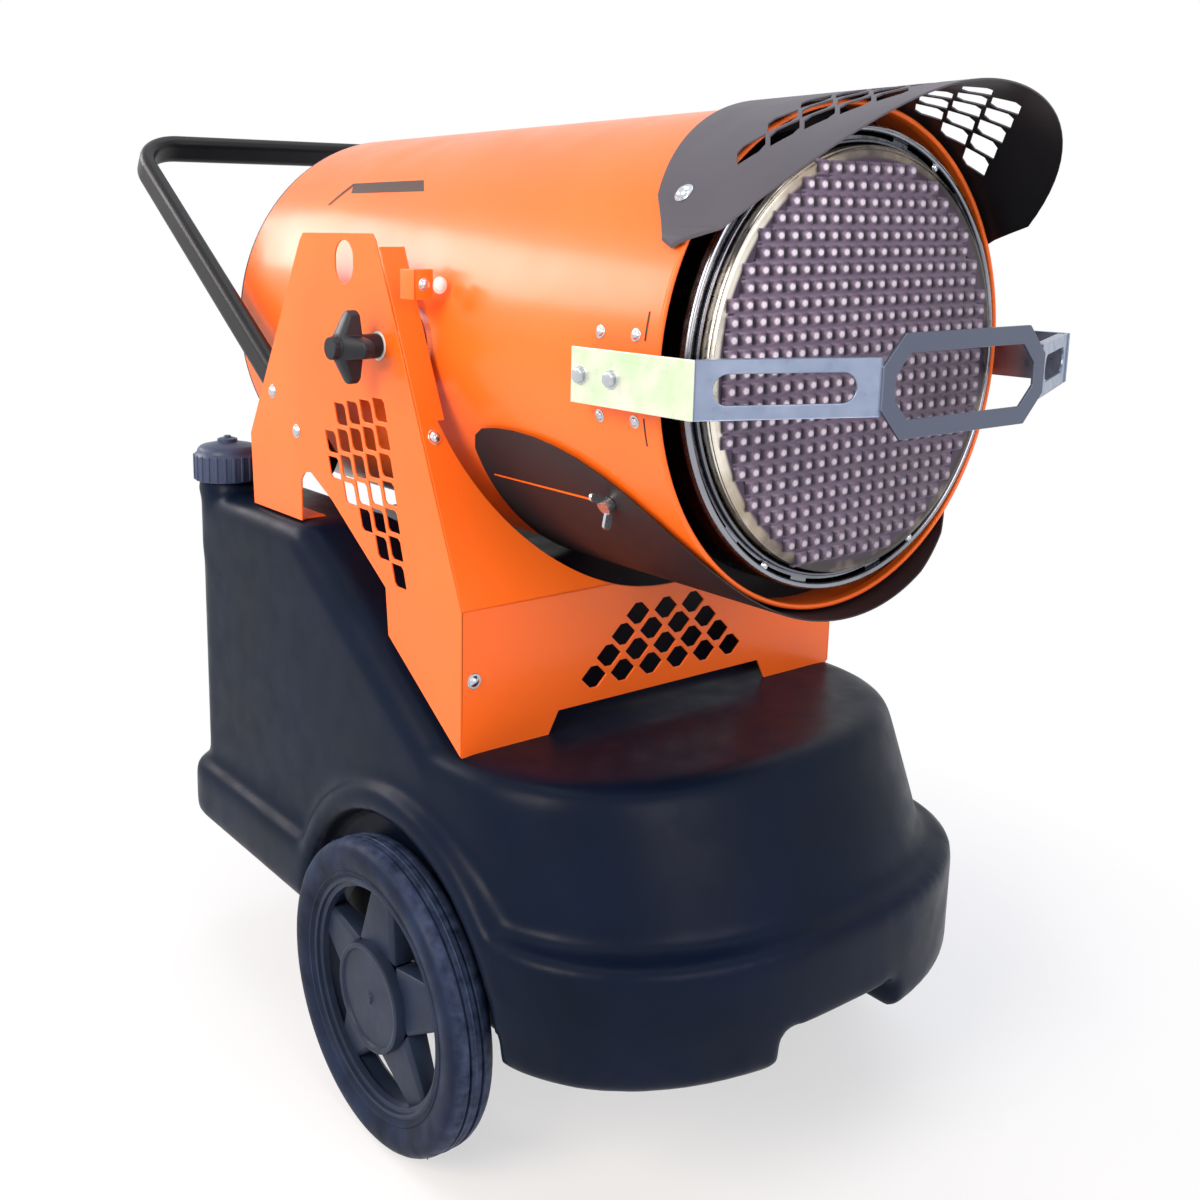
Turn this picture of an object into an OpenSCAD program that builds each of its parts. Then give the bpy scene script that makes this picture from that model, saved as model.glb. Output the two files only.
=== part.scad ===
// Infrared diesel heater on a wheeled fuel tank.
// Lengths are in millimetres. X is across, the emitter faces -Y and Z is up.
// Sizes along Y are counted from the wheel axle, and placed() moves the axle ahead of the middle.

/* [Drum] */
// Outer radius of the drum
drum_r = 218; // [212:0.5:220]
// Thickness of the drum sheet
drum_wall = 1.6; // [1:0.1:3]
// Height of the drum's underside above the tank's platform
drum_clear = 154; // [150:1:175]
// Distance of the drum's front rim ahead of the axle
drum_front = 280; // [270:1:300]
// Distance of the drum's rear end behind the axle
drum_back = 447; // [440:1:470]
// Distance of the tilt axis behind the axle
pivot_y = 68; // [60:1:80]

/* [Emitter] */
// Distance from the drum's outside in to the slotted ring
ring_gap = 21; // [16:0.5:26]
// Width of the slotted ring's front flange
ring_w = 13; // [10:0.5:16]
// Length of one arc slot in the ring, in degrees
slot_arc = 24; // [10:1:28]
// Distance from the drum rim forward to the ring
ring_out = 5; // [2:0.5:9]
// Distance from the ring's outside in to the emitter pan
pan_gap = 17; // [16.5:0.5:26]
// Distance from the drum rim forward to the pan
pan_out = 17.5; // [12:0.5:24]
// Pitch of the emitter plate's dimples across
dimple_w = 15.8; // [15:0.1:17]
// Pitch of the emitter plate's dimples upwards
dimple_h = 13.4; // [12.5:0.1:15]
// Thickness of the emitter sheets
emitter_t = 1.5; // [1:0.1:2.5]

/* [Hood] */
// Half of the angle that the hood spans
hood_half = 63; // [55:1:70]
// Gap between the drum and the hood
hood_gap = 4; // [3:0.5:8]
// Thickness of the hood sheet
hood_t = 1.6; // [1:0.1:3]
// Distance from the axle forward to the hood's nose
hood_nose = 408; // [390:1:430]
// Distance from the axle forward to the hood's back edge on top
hood_back = 186; // [170:1:200]

/* [Deflector] */
// Gap between the drum and the lower deflector
leaf_gap = 3.6; // [3.2:0.1:8]
// Thickness of the deflector sheet
leaf_t = 1.6; // [1:0.1:3]

/* [Guard] */
// Distance from the drum to the guard's side arms
guard_gap = 19; // [15:0.5:26]
// Height of the guard strip
guard_h = 45; // [36:1:52]
// Thickness of the guard sheet
guard_t = 2.5; // [2:0.1:4]
// Distance from the axle forward to the guard's nose
guard_nose = 399; // [380:1:405]
// Half of the width of the guard's middle plate
guard_nose_x = 104; // [90:1:120]
// Height of the guard's middle loop
loop_h = 81; // [66:1:90]

/* [Stand] */
// Distance from the drum to the side panels
stand_gap = 36; // [32:0.5:42]
// Thickness of the stand sheet
stand_t = 2; // [1.5:0.1:3]
// Height of the side panels' top above the drum's axis
stand_rise = 106; // [95:1:115]
// Distance from the axle forward to the upright front panel
stand_front = 74; // [70:1:80]
// Height of the front panel's upright part
bend_h = 140; // [130:1:146]
// Distance from the axle back to the top of the slanted front edge
horn_back = 72; // [60:1:90]
// Width of the slanted strips beside the drum
horn_w = 30; // [24:1:32]
// Distance from the drum to the edge of its cut-out
cutout_gap = 25; // [22:0.5:30]
// Width of one cell of the front vent
vent_w = 32; // [28:1:33]
// Height of one cell of the front vent
vent_h = 22; // [18:1:23]
// Width of one cell of the side vent
side_cell_w = 21; // [18:0.5:22]
// Height of one cell of the side vent
side_cell_h = 21.5; // [18:0.5:22]

/* [Handle] */
// Height of the handle tube
tube_h = 36; // [30:1:40]
// Width of the handle tube
tube_w = 20; // [16:1:24]
// Wall thickness of the handle tube
tube_wall = 2; // [1.5:0.1:4]
// Distance from the axle back to the handle's crossbar
bar_y = 703; // [660:1:720]
// Height of the handle's crossbar above the tank's top
bar_h = 415; // [380:1:420]
// Radius of the handle's bends
bend_r = 60; // [45:1:80]

/* [Tank] */
// Half of the width of the tank's skirt
tank_x = 292; // [288:1:296]
// Height of the tank's underside above the axle
tank_lift = 12; // [11:0.5:20]
// Height of the front platform above the underside
deck_h = 252; // [247:1:254]
// Height of the tank's rear top above the underside
top_h = 422; // [412:1:423]
// Height of the ledge round the skirt above the underside
ledge_h = 120; // [107:1:132]
// Depth of the ledge
ledge_w = 18; // [10:1:20]
// Distance from the axle back to the tank's rear face
tank_back = 495; // [480:1:510]
// Distance from the axle forward to the tank's nose
tank_nose = 328; // [310:1:340]
// Wall thickness of the tank
tank_wall = 5; // [4:0.5:10]
// Radius of the filler neck
neck_r = 34; // [30:0.5:36]
// Wall thickness of the filler neck
neck_wall = 8; // [5:0.5:10]

/* [Wheels] */
// Radius of the big wheels
wheel_r = 156; // [150:0.5:160]
// Width of the big wheels
wheel_w = 48; // [40:1:52]
// Outer face of the big wheels from the middle
wheel_face = 316; // [314:1:325]
// Height of the tyre's section
tyre_h = 39; // [31:1:50]
// Radius of the big wheel's hub disc
hub_disc_r = 55; // [45:1:60]
// Radius of the axle
axle_r = 10; // [8:0.5:11]
// Radius of the castor wheel
castor_r = 62.5; // [55:0.5:65]
// Distance from the axle back to the castor's swivel
castor_y = 380; // [350:1:400]

/* [Fits] */
// Radial clearance of turning shafts
run_gap = 0.05; // [0.02:0.01:0.1]
// Gap between pieces that move past each other
free_gap = 0.4; // [0.3:0.05:1]
// Distance from the axle back to the middle of the whole length
mid_y = 154; // [140:1:170]

/* [Hidden] */

orange = "#ff6a22";
graphite = "#4b4e56";
black = "#1d2127";
zinc = "#c9ccd0";
steel = "#a9adb3";
tank_blue = "#232d3b";

fine = 128;
round_n = 64;
edge_n = 32;
drum_n = 360;

tank_z = wheel_r + tank_lift;
deck_z = tank_z + deck_h;
tank_top = tank_z + top_h;
ledge_z = tank_z + ledge_h;
drum_z = deck_z + drum_clear + drum_r;
shell_in = drum_r - drum_wall;
ring_r = drum_r - ring_gap;
pan_r = ring_r - pan_gap;
guard_x = drum_r + guard_gap;
cutout_r = drum_r + cutout_gap;
panel_in = drum_r + stand_gap;
stand_x = panel_in + stand_t;
stand_top = drum_z + stand_rise;
bend_z = deck_z + bend_h;
tyre_in = wheel_r - tyre_h;
bar_z = tank_top + bar_h;
hood_in = drum_r + hood_gap;
leaf_in = drum_r + leaf_gap;
pivot_r = 8;
bush_r = 14;
knob_collar_r = 12;
knob_collar_len = 23;
knob_r = 35;
bush_out = 4;
bolt_head_r = 6.5;
bolt_r = 4;

bulkhead_y = -drum_front + 40;
bulkhead_t = 2;
hood_bolt_y = -258;
hood_bolt_angle = 51.5;
chamber_r = drum_r - 68;
chamber_t = 1.5;
chamber_back = 120;
rear_bulkhead_y = 60;
blast_r = 45;
blast_t = 2;
blast_back = 210;
scroll_r = 90;
scroll_len = 60;
scroll_t = 4;
motor_r = 55;
motor_len = 116;
shaft_r = 6;
tray_z = -120;
tray_t = 2;
tray_half = sqrt(pow(shell_in - 0.5, 2) - tray_z * tray_z);
cover_t = 2;
box_w = 150;
box_h = 92;
box_d = 32;
box_y = drum_back + cover_t;
switch_x = -32;
switch_y = box_y + box_d - 2;
switch_z = 22;

lean = atan2(stand_front + horn_back, stand_top - bend_z);
side_x = tank_x - ledge_w;
well_r = wheel_r + 22;
lip_w = 28;
well_x = wheel_face - wheel_w - 9;
hub_r = 26;
wheel_in = wheel_face - wheel_w;
hub_in = wheel_in - 2;

// Moves a piece from the axle's own place to the shared place
module placed() translate([0, -mid_y, 0]) children();

// Moves a piece to the drum's axis
module on_drum() placed() translate([0, 0, drum_z]) children();

// Extrudes an outline of (X, Z) from y0 to y1
module along_y(y0, y1) translate([0, y1, 0]) rotate([90, 0, 0]) linear_extrude(y1 - y0) children();

// Extrudes an outline of (Y, Z) from x0 to x1
module along_x(x0, x1) translate([x0, 0, 0]) rotate([90, 0, 90]) linear_extrude(x1 - x0) children();

// A ring along Y
module ring_y(r_out, r_in, y0, y1) along_y(y0, y1) difference() {
    circle(r_out, $fn = fine);
    circle(r_in, $fn = fine);
}

// A cylinder along Y
module rod_y(r, y0, y1) along_y(y0, y1) circle(r, $fn = round_n);

// A cylinder along X
module rod_x(r, x0, x1) along_x(x0, x1) circle(r, $fn = round_n);

// A ring along X
module ring_x(r_out, r_in, x0, x1) along_x(x0, x1) difference() {
    circle(r_out, $fn = fine);
    circle(r_in, $fn = fine);
}

// A six-sided cell that is w wide and h high, with its points up and down and its upright sides side long
module cell_up(w, h, side) polygon([
    [-w / 2, -side / 2], [0, -h / 2], [w / 2, -side / 2], [w / 2, side / 2], [0, h / 2], [-w / 2, side / 2]]);

// A leaning cell with two cut corners, whose top is shifted by lean from its foot
module cell_leaning(w, h, lean, cut) {
    half = [[(w + lean) / 2, h / 2], [(lean - w) / 2 + cut, h / 2], [(lean - w) / 2 - cut * lean / h, h / 2 - cut]];
    polygon(concat(half, -1 * half));
}

// Copies a piece to both sides
module both_sides() for (s = [-1, 1]) scale_x(s) children();
module scale_x(s) if (s < 0) mirror([1, 0, 0]) children(); else children();

// A hexagon-headed bolt with its head on the plane and its shank below, along +Z
module bolt(head_h, shank) {
    cylinder(h = head_h, r = bolt_head_r, $fn = 6);
    translate([0, 0, -shank]) cylinder(h = shank, r = bolt_r, $fn = round_n);
}

// Points along the cubic curve of four control points
function curve(p, n) = [for (i = [0 : n]) let (t = i / n, u = 1 - t)
    u * u * u * p[0] + 3 * u * u * t * p[1] + 3 * u * t * t * p[2] + t * t * t * p[3]];

// A domed head with radius r and height h, along +Z
module screw_head(r, h) {
    dome_r = (r * r + h * h) / (2 * h);
    rotate_extrude($fn = round_n) intersection() {
        translate([0, h - dome_r]) circle(dome_r, $fn = fine);
        square([r, h]);
    }
}

// Tank

corner_r = 50;
nose_r = 70;
nose_x = 100;
cheek_y = -190;
deck_edge = 22;
deck_far = [200, -150, 66];
deck_near = [120, -190, 64];
top_r = 28;
top_front_y = 228;
slope_end_y = -28;
arch_step_y = 150;
rear_ledge_z = tank_z + 74;
saddle_r = drum_r + 40;
groove_d = 1.5;
notch_x = 78;
notch_z = 37;
notch_y = -200;
neck_x = -240;
neck_y = tank_back - 47;
neck_top = tank_top + 40;

// The skirt's plan outline
module tank_plan() hull() for (s = [-1, 1]) {
    translate([s * (tank_x - corner_r), tank_back - corner_r]) circle(corner_r, $fn = edge_n);
    translate([s * (tank_x - nose_r), cheek_y]) circle(nose_r, $fn = edge_n);
    translate([s * nose_x, nose_r - tank_nose]) circle(nose_r, $fn = edge_n);
}

// A disc with its top at z and a rounded edge, drawn in by inset
module puck(x, y, z, r, edge, inset) translate([x, y, z - edge]) rotate_extrude($fn = edge_n) intersection() {
    translate([r - edge, 0]) circle(edge - inset, $fn = edge_n);
    translate([0, -edge]) square([r, 2 * edge]);
}

// An upright post from z with radius r, drawn in by inset
module post(x, y, z, r, inset) translate([x, y, z]) cylinder(h = 10, r = r - inset, $fn = edge_n);

// The tank's high rear and its slope, down to z
module tank_rear(z, inset = 0) hull() for (s = [-1, 1]) {
    puck(s * (side_x - 40), tank_back - 52, tank_top, 40, top_r, inset);
    puck(s * (side_x - 40), top_front_y, tank_top, 40, top_r, inset);
    puck(s * (side_x - 40), slope_end_y, deck_z, 40, deck_edge, inset);
    post(s * (side_x - 40), tank_back - 52, z, 40, inset);
    post(s * (side_x - 40), slope_end_y, z, 40, inset);
}

// The tank's low front with its platform, down to z
module tank_deck(z, inset = 0) hull() for (s = [-1, 1]) {
    puck(s * (side_x - 40), slope_end_y, deck_z, 40, deck_edge, inset);
    puck(s * deck_far[0], deck_far[1], deck_z, deck_far[2], deck_edge, inset);
    puck(s * deck_near[0], deck_near[1], deck_z, deck_near[2], deck_edge, inset);
    post(s * (side_x - 40), slope_end_y, z, 40, inset);
    post(s * (tank_x - nose_r), cheek_y, z, nose_r - ledge_w, inset);
    post(s * nose_x, nose_r - tank_nose, z, nose_r - ledge_w, inset);
}

module tank_solid() {
    translate([0, 0, tank_z]) linear_extrude(rear_ledge_z - tank_z) tank_plan();
    translate([0, 0, tank_z]) linear_extrude(ledge_z - tank_z) intersection() {
        tank_plan();
        translate([-450, -650]) square([900, arch_step_y + 650]);
    }
    tank_rear(rear_ledge_z);
    tank_deck(ledge_z);
    translate([neck_x, neck_y, rear_ledge_z]) cylinder(h = tank_top - rear_ledge_z, r = neck_r, $fn = fine);
    both_sides() difference() {
        translate([0, 0, wheel_r]) ring_x(well_r + lip_w, well_r, well_x + 4, tank_x);
        translate([0, -300, -100]) cube([400, 600, rear_ledge_z + 100]);
    }
}

// What is cut from the tank's outside, grown by wall
module tank_cuts(wall) {
    both_sides() translate([0, 0, wheel_r]) rod_x(well_r + wall, well_x - wall, tank_x + 40);
    translate([-notch_x - wall, -400, 0])
        cube([2 * (notch_x + wall), 400 + notch_y + wall, tank_z + notch_z + wall]);
    along_y(-100, tank_back + 20) translate([0, drum_z]) circle(saddle_r + wall, $fn = fine);
    translate([-stand_x, -stand_front - free_gap - wall, deck_z - groove_d - wall])
        cube([2 * stand_x, stand_t + 2 * (free_gap + wall), bend_h]);
}

// The space for the fuel
module tank_hollow() difference() {
    union() {
        tank_rear(tank_z + tank_wall, tank_wall);
        tank_deck(tank_z + tank_wall, tank_wall);
    }
    tank_cuts(tank_wall);
}

module tank_body() color(tank_blue) placed() difference() {
    tank_solid();
    tank_hollow();
    tank_cuts(0);
    translate([neck_x, neck_y, tank_top - 60]) cylinder(h = 80, r = neck_r - neck_wall, $fn = round_n);
}

collar_h = 9;
module filler_neck() color(tank_blue) placed() translate([neck_x, neck_y, tank_top])
    rotate_extrude($fn = fine) polygon([
        [neck_r - neck_wall, 0], [neck_r + 2, 0], [neck_r + 2, collar_h - 1], [neck_r, collar_h],
        [neck_r, neck_top - tank_top], [neck_r - neck_wall, neck_top - tank_top]]);

cap_r = 42;
cap_h = 38;
cap_ribs = 24;
gasket_t = 3;

module tank_gasket() color(black) placed() translate([neck_x, neck_y, neck_top]) difference() {
    cylinder(h = gasket_t, r = neck_r, $fn = fine);
    translate([0, 0, -1]) cylinder(h = gasket_t + 2, r = neck_r - neck_wall, $fn = round_n);
}

cap_wall = cap_r - neck_r - 5;
module at_cap() placed() translate([neck_x, neck_y, neck_top + gasket_t + free_gap]) children();

// A cup over the neck, with a stepped top and a vent
module fuel_cap() color(black) at_cap() {
    difference() {
        translate([0, 0, 6 - cap_h]) cylinder(h = cap_h, r = cap_r - cap_wall, $fn = fine);
        translate([0, 0, 5 - cap_h]) cylinder(h = cap_h - 5, r = neck_r + free_gap, $fn = fine);
    }
    translate([0, 0, 6]) cylinder(h = 4, r = cap_r - 12, $fn = fine);
    translate([0, 0, 10]) cylinder(h = 5, r = 9, $fn = round_n);
    translate([0, 0, 15]) cylinder(h = 6, r = 5, $fn = round_n);
}

// The ribbed sleeve round the cap
module cap_grip() color(black) at_cap() translate([0, 0, 6 - cap_h]) linear_extrude(cap_h - 6) {
    difference() {
        circle(cap_r - cap_wall + 1, $fn = fine);
        circle(cap_r - cap_wall, $fn = fine);
    }
    for (i = [0 : cap_ribs - 1]) rotate(i * 360 / cap_ribs)
        translate([cap_r - cap_wall + 0.5, -2.2]) square([cap_wall - 0.5, 4.4]);
}

// Axle and big wheels

saddle_x = 215;
saddle_w = 34;
axle_end = wheel_face - 10;

module axle() color(steel) placed() translate([0, 0, wheel_r]) rod_x(axle_r, -axle_end, axle_end);

module axle_saddles() color(black) placed() both_sides() {
    difference() {
        translate([saddle_x, -24, wheel_r - axle_r - 5]) cube([saddle_w, 48, tank_z - wheel_r + axle_r + 5]);
        translate([0, 0, wheel_r]) rod_x(axle_r, saddle_x - 1, saddle_x + saddle_w + 1);
    }
    for (y = [-16, 16]) translate([saddle_x + saddle_w / 2, y, wheel_r - axle_r - 5]) mirror([0, 0, 1])
        bolt(4.5, 1);
}

module axle_washers() color(zinc) placed() both_sides() translate([0, 0, wheel_r]) {
    ring_x(axle_r + 8, axle_r, well_x + free_gap, hub_in - free_gap);
    ring_x(axle_r + 6, axle_r, axle_end - 5 + free_gap, axle_end - 2);
}

spoke_n = 5;

// A big wheel's moulded rim, hub and spokes, on the +X side
module wheel_rim_solid() translate([0, 0, wheel_r]) difference() {
    union() {
        ring_x(tyre_in + 2, tyre_in - 6, wheel_in + 8, wheel_face - 5);
        rod_x(hub_r, hub_in, axle_end - 5);
        rod_x(hub_disc_r - 4, wheel_face - 22, wheel_face - 12);
        for (i = [0 : spoke_n - 1]) rotate([i * 360 / spoke_n, 0, 0])
            along_x(wheel_in + 14, wheel_face - 14) polygon([
                [-30, hub_r - 4], [-30, hub_disc_r], [-18, tyre_in - 5], [18, tyre_in - 5],
                [30, hub_disc_r], [30, hub_r - 4]]);
    }
    rod_x(axle_r + run_gap, hub_in - 1, wheel_face);
    rod_x(hub_r - 6, axle_end - 5, wheel_face);
}

// The hub's round cover
module hub_disc_solid() translate([0, 0, wheel_r]) {
    ring_x(hub_disc_r, hub_r + 2, wheel_face - 12, wheel_face - 4);
    rod_x(hub_disc_r, wheel_face - 4, wheel_face - 1);
    ring_x(hub_disc_r - 2, hub_disc_r - 6, wheel_face - 1, wheel_face);
}

// The tyre with its two tread grooves
module tyre_solid() translate([0, 0, wheel_r]) rotate([0, 90, 0]) rotate_extrude($fn = fine) difference() {
    polygon([
        [tyre_in + 2, wheel_in + 6], [tyre_in + 12, wheel_in + 1], [wheel_r - 14, wheel_in],
        [wheel_r - 4, wheel_in + 4], [wheel_r, wheel_in + 12], [wheel_r, wheel_face - 12],
        [wheel_r - 4, wheel_face - 4], [wheel_r - 14, wheel_face], [tyre_in + 12, wheel_face - 1],
        [tyre_in + 2, wheel_face - 4]]);
    for (u = [1, 2]) translate([wheel_r - 3, wheel_in + u * wheel_w / 3 - 1.5]) square([4, 3]);
}

module wheel_rim_left() color(black) placed() scale_x(-1) wheel_rim_solid();
module wheel_rim_right() color(black) placed() wheel_rim_solid();
module tyre_left() color("#2b2f36") placed() scale_x(-1) tyre_solid();
module tyre_right() color("#2b2f36") placed() tyre_solid();
module hub_disc_left() color(graphite) placed() scale_x(-1) hub_disc_solid();
module hub_disc_right() color(graphite) placed() hub_disc_solid();

// Rear castor

plate_t = 3;
plate_w = 104;
plate_d = 86;
plate_edge = 12;
race_r = 26;
race_h = 10;
king_r = 6;
castor_w = 32;
fork_t = 3;
fork_x = castor_w / 2 + 2.5;
trail = 36;
castor_pin_r = 5;
crown_z = tank_z - plate_t - race_h;

module at_castor() placed() translate([0, castor_y, 0]) children();

module castor_plate() color(zinc) at_castor() {
    difference() {
        translate([-plate_w / 2, -plate_d / 2, tank_z - plate_t]) cube([plate_w, plate_d, plate_t]);
        for (sx = [-1, 1], sy = [-1, 1])
            translate([sx * (plate_w / 2 - plate_edge), sy * (plate_d / 2 - plate_edge), tank_z - 10])
                cylinder(h = 20, r = bolt_r + 0.5, $fn = round_n);
    }
    translate([0, 0, tank_z - plate_t - race_h + free_gap])
        cylinder(h = race_h - free_gap, r = race_r, $fn = fine);
    translate([0, 0, crown_z - 12]) cylinder(h = 16, r = king_r, $fn = round_n);
}

module castor_fork() color(zinc) at_castor() difference() {
    union() {
        translate([0, 0, crown_z - fork_t]) cylinder(h = fork_t, r = race_r + 4, $fn = fine);
        translate([-fork_x - fork_t, -14, crown_z - fork_t])
            cube([2 * (fork_x + fork_t), 28 + trail / 2, fork_t]);
        both_sides() along_x(fork_x, fork_x + fork_t) polygon([
            [-14, crown_z], [14 + trail / 2, crown_z], [trail + 16, castor_r + 4],
            [trail + 10, castor_r - 14], [trail - 10, castor_r - 14], [-14, crown_z - 26]]);
    }
    translate([0, 0, crown_z - 20]) cylinder(h = 40, r = king_r + run_gap, $fn = round_n);
    translate([0, trail, castor_r]) rod_x(castor_pin_r, -40, 40);
}

module castor_pin() color(steel) at_castor() translate([0, trail, castor_r]) {
    rod_x(castor_pin_r, -fork_x - fork_t, fork_x + fork_t);
    both_sides() translate([fork_x + fork_t, 0, 0]) rotate([0, 90, 0]) cylinder(h = 5, r = 8, $fn = 6);
}

module castor_wheel() color("#2b2f36") at_castor() translate([0, trail, castor_r]) rotate([0, 90, 0])
    rotate_extrude($fn = fine) polygon([
        [castor_pin_r + run_gap, -castor_w / 2 - 2], [14, -castor_w / 2 - 2], [14, -castor_w / 2 + 4],
        [castor_r - 16, -castor_w / 2 + 4], [castor_r - 14, -castor_w / 2], [castor_r - 3, -castor_w / 2],
        [castor_r, -castor_w / 2 + 4], [castor_r, castor_w / 2 - 4], [castor_r - 3, castor_w / 2],
        [castor_r - 14, castor_w / 2], [castor_r - 16, castor_w / 2 - 4], [14, castor_w / 2 - 4],
        [14, castor_w / 2 + 2], [castor_pin_r + run_gap, castor_w / 2 + 2]]);

// Stand

foot_z = tank_top;
side_rows = [4, 5, 5, 4, 3, 2, 1];
side_vent_y = 142;
side_vent_top = foot_z + 127;
side_across = [-25.3, 4.3];
side_down = [-5.7, -26.5];
side_lean = 6.8;
side_cut = 3;
front_rows = [6, 5, 4, 3];
front_vent_z = deck_z + 48;
front_vent_pitch = 37.8;
front_vent_rise = 18.7;
horn_foot = 66.5;
recess_x = 152;
recess_z = 22;
bolt_1 = [292, foot_z + 135];
arm_angle = atan2(bar_z - bolt_1[1], bar_y - bolt_1[0]);
bolt_2 = bolt_1 - 66.3 * [cos(arm_angle), sin(arm_angle)];
screw_r = 2.5;
screw_z = deck_z + 72;
horn_screw_z = bend_z + 152;
flange_w = 26;
foot_w = 30;
foot_len = 100;
heel_y = 229;
sight_y = 132;
sight_r = 18;

// The side panel's outline of (Y, Z)
module side_outline() difference() {
    polygon([
        [-stand_front, bend_z], [horn_back, stand_top - 6], [horn_back + 6, stand_top],
        [heel_y - 13, stand_top], [heel_y - 5, stand_top - 8], [heel_y + 121, foot_z + 81],
        [heel_y + 116, foot_z], [heel_y, foot_z], [heel_y, foot_z + 46], [heel_y - 8, foot_z + 55],
        [heel_y - 21, foot_z + 57], [heel_y - 67, foot_z + 34], [heel_y - 172, foot_z - 36],
        [heel_y - 177, foot_z - 84], [-stand_front, deck_z]]);
    for (k = [0 : len(side_rows) - 1], i = [side_rows[0] - side_rows[k] : side_rows[0] - 1])
        translate([side_vent_y, side_vent_top] + i * side_across + k * side_down)
            cell_leaning(side_cell_w, side_cell_h, side_lean, side_cut);
    for (s = [-1, 1]) translate([sight_y, stand_top - 28 + s * 3.5]) circle(sight_r, $fn = round_n);
    translate([sight_y - sight_r, stand_top - 31.5]) square([2 * sight_r, 7]);
    translate([pivot_y, drum_z]) circle(bush_r, $fn = round_n);
    for (p = [bolt_1, bolt_2]) translate(p) circle(bolt_r, $fn = round_n);
}

// A stand side panel on the +X side, with its foot tab and front flange
module side_panel_solid() {
    along_x(panel_in, stand_x) side_outline();
    difference() {
        union() {
            translate([panel_in - foot_w, heel_y + 4, foot_z]) cube([foot_w, foot_len, stand_t]);
            translate([panel_in - flange_w, stand_t - stand_front, deck_z + 10])
                cube([flange_w, stand_t, bend_z - deck_z - 24]);
        }
        foot_shanks();
        front_shanks();
    }
}

// The shanks of one side's screws: in the foot, in the front panel and in its slanted strip
module on_foot() translate([panel_in - foot_w / 2, heel_y + 56, foot_z + stand_t]) children();
module foot_shanks() on_foot() mirror([0, 0, 1]) cylinder(h = stand_t, r = bolt_r, $fn = round_n);
module front_shanks() translate([panel_in - flange_w / 2, 2 * stand_t - stand_front, screw_z])
    rotate([90, 0, 0]) cylinder(h = 2 * stand_t, r = screw_r, $fn = round_n);
module horn_shanks() on_horn() translate([0, 0, -stand_t]) cylinder(h = stand_t, r = screw_r, $fn = round_n);
module on_horn() translate([stand_x - horn_w / 2, (horn_screw_z - bend_z) * tan(lean) - stand_front, 0])
    translate([0, 0, horn_screw_z]) rotate([90 - lean, 0, 0]) children();

module side_panel_left() color(orange) placed() scale_x(-1) side_panel_solid();
module side_panel_right() color(orange) placed() side_panel_solid();

module front_panel() color(orange) placed() {
    along_y(-stand_front, -stand_front + stand_t) difference() {
        translate([-panel_in, deck_z - groove_d]) square([2 * panel_in, bend_h + groove_d]);
        polygon([[-recess_x, deck_z - groove_d - 1], [recess_x, deck_z - groove_d - 1],
            [recess_x - 13, deck_z + recess_z], [13 - recess_x, deck_z + recess_z]]);
        translate([0, drum_z]) circle(cutout_r, $fn = fine);
        for (k = [0 : len(front_rows) - 1], i = [0 : front_rows[k] - 1])
            translate([(i - (front_rows[k] - 1) / 2) * front_vent_pitch, front_vent_z + k * front_vent_rise])
                rotate(90) cell_up(vent_h, vent_w, 9);
        for (s = [-1, 1]) translate([s * (panel_in - flange_w / 2), screw_z]) circle(screw_r, $fn = round_n);
    }
    difference() {
        translate([0, -stand_front, bend_z]) rotate([-lean, 0, 0]) translate([-panel_in, 0, -0.2])
            cube([2 * panel_in, stand_t, (stand_top - 12 - bend_z) / cos(lean)]);
        along_y(-200, 200) translate([0, drum_z]) intersection() {
            circle(cutout_r, $fn = fine);
            translate([-cutout_r, -cutout_r]) square([2 * cutout_r, cutout_r - horn_foot + 0.5]);
        }
        along_y(-200, 200) translate([-(stand_x - horn_w), drum_z - horn_foot])
            square([2 * (stand_x - horn_w), drum_r + horn_foot]);
        both_sides() horn_shanks();
    }
}

// Screws through the front panel, the flanges and the feet
module stand_screws() color(zinc) placed() both_sides() {
    front_shanks();
    translate([panel_in - flange_w / 2, -stand_front, screw_z]) rotate([90, 0, 0]) screw_head(6, 3.5);
    horn_shanks();
    on_horn() screw_head(6, 3.5);
    foot_shanks();
    on_foot() cylinder(h = 4.5, r = bolt_head_r, $fn = 6);
}

module pivot_bushes() color("white") placed() both_sides() translate([0, pivot_y, drum_z]) {
    ring_x(bush_r, pivot_r + run_gap, panel_in - bush_out, stand_x);
    ring_x(bush_r + 6, pivot_r + run_gap, panel_in - bush_out, panel_in);
}

// Handle

handle_x = panel_in - tube_w / 2;
arm_start = 190;

// One oval across the tube's length
module tube_oval(inset) {
    for (s = [-1, 1]) translate([0, s * (tube_h - tube_w) / 2]) circle(tube_w / 2 - inset, $fn = edge_n);
    square([tube_w - 2 * inset, tube_h - tube_w], center = true);
}

// The tube's whole run, whose arms stop short by cut
module tube_run(inset, cut) {
    arm = (bar_y - arm_start) / cos(arm_angle) - bend_r - cut;
    inner_x = handle_x - bend_r;
    both_sides() translate([handle_x, -bend_r, 0]) rotate([90, 0, 0]) linear_extrude(arm) tube_oval(inset);
    both_sides() translate([inner_x, -bend_r, 0]) rotate_extrude(angle = 90, $fn = fine)
        translate([bend_r, 0]) tube_oval(inset);
    rotate([90, 0, 90]) translate([0, 0, -inner_x]) linear_extrude(2 * inner_x) tube_oval(inset);
}

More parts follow.
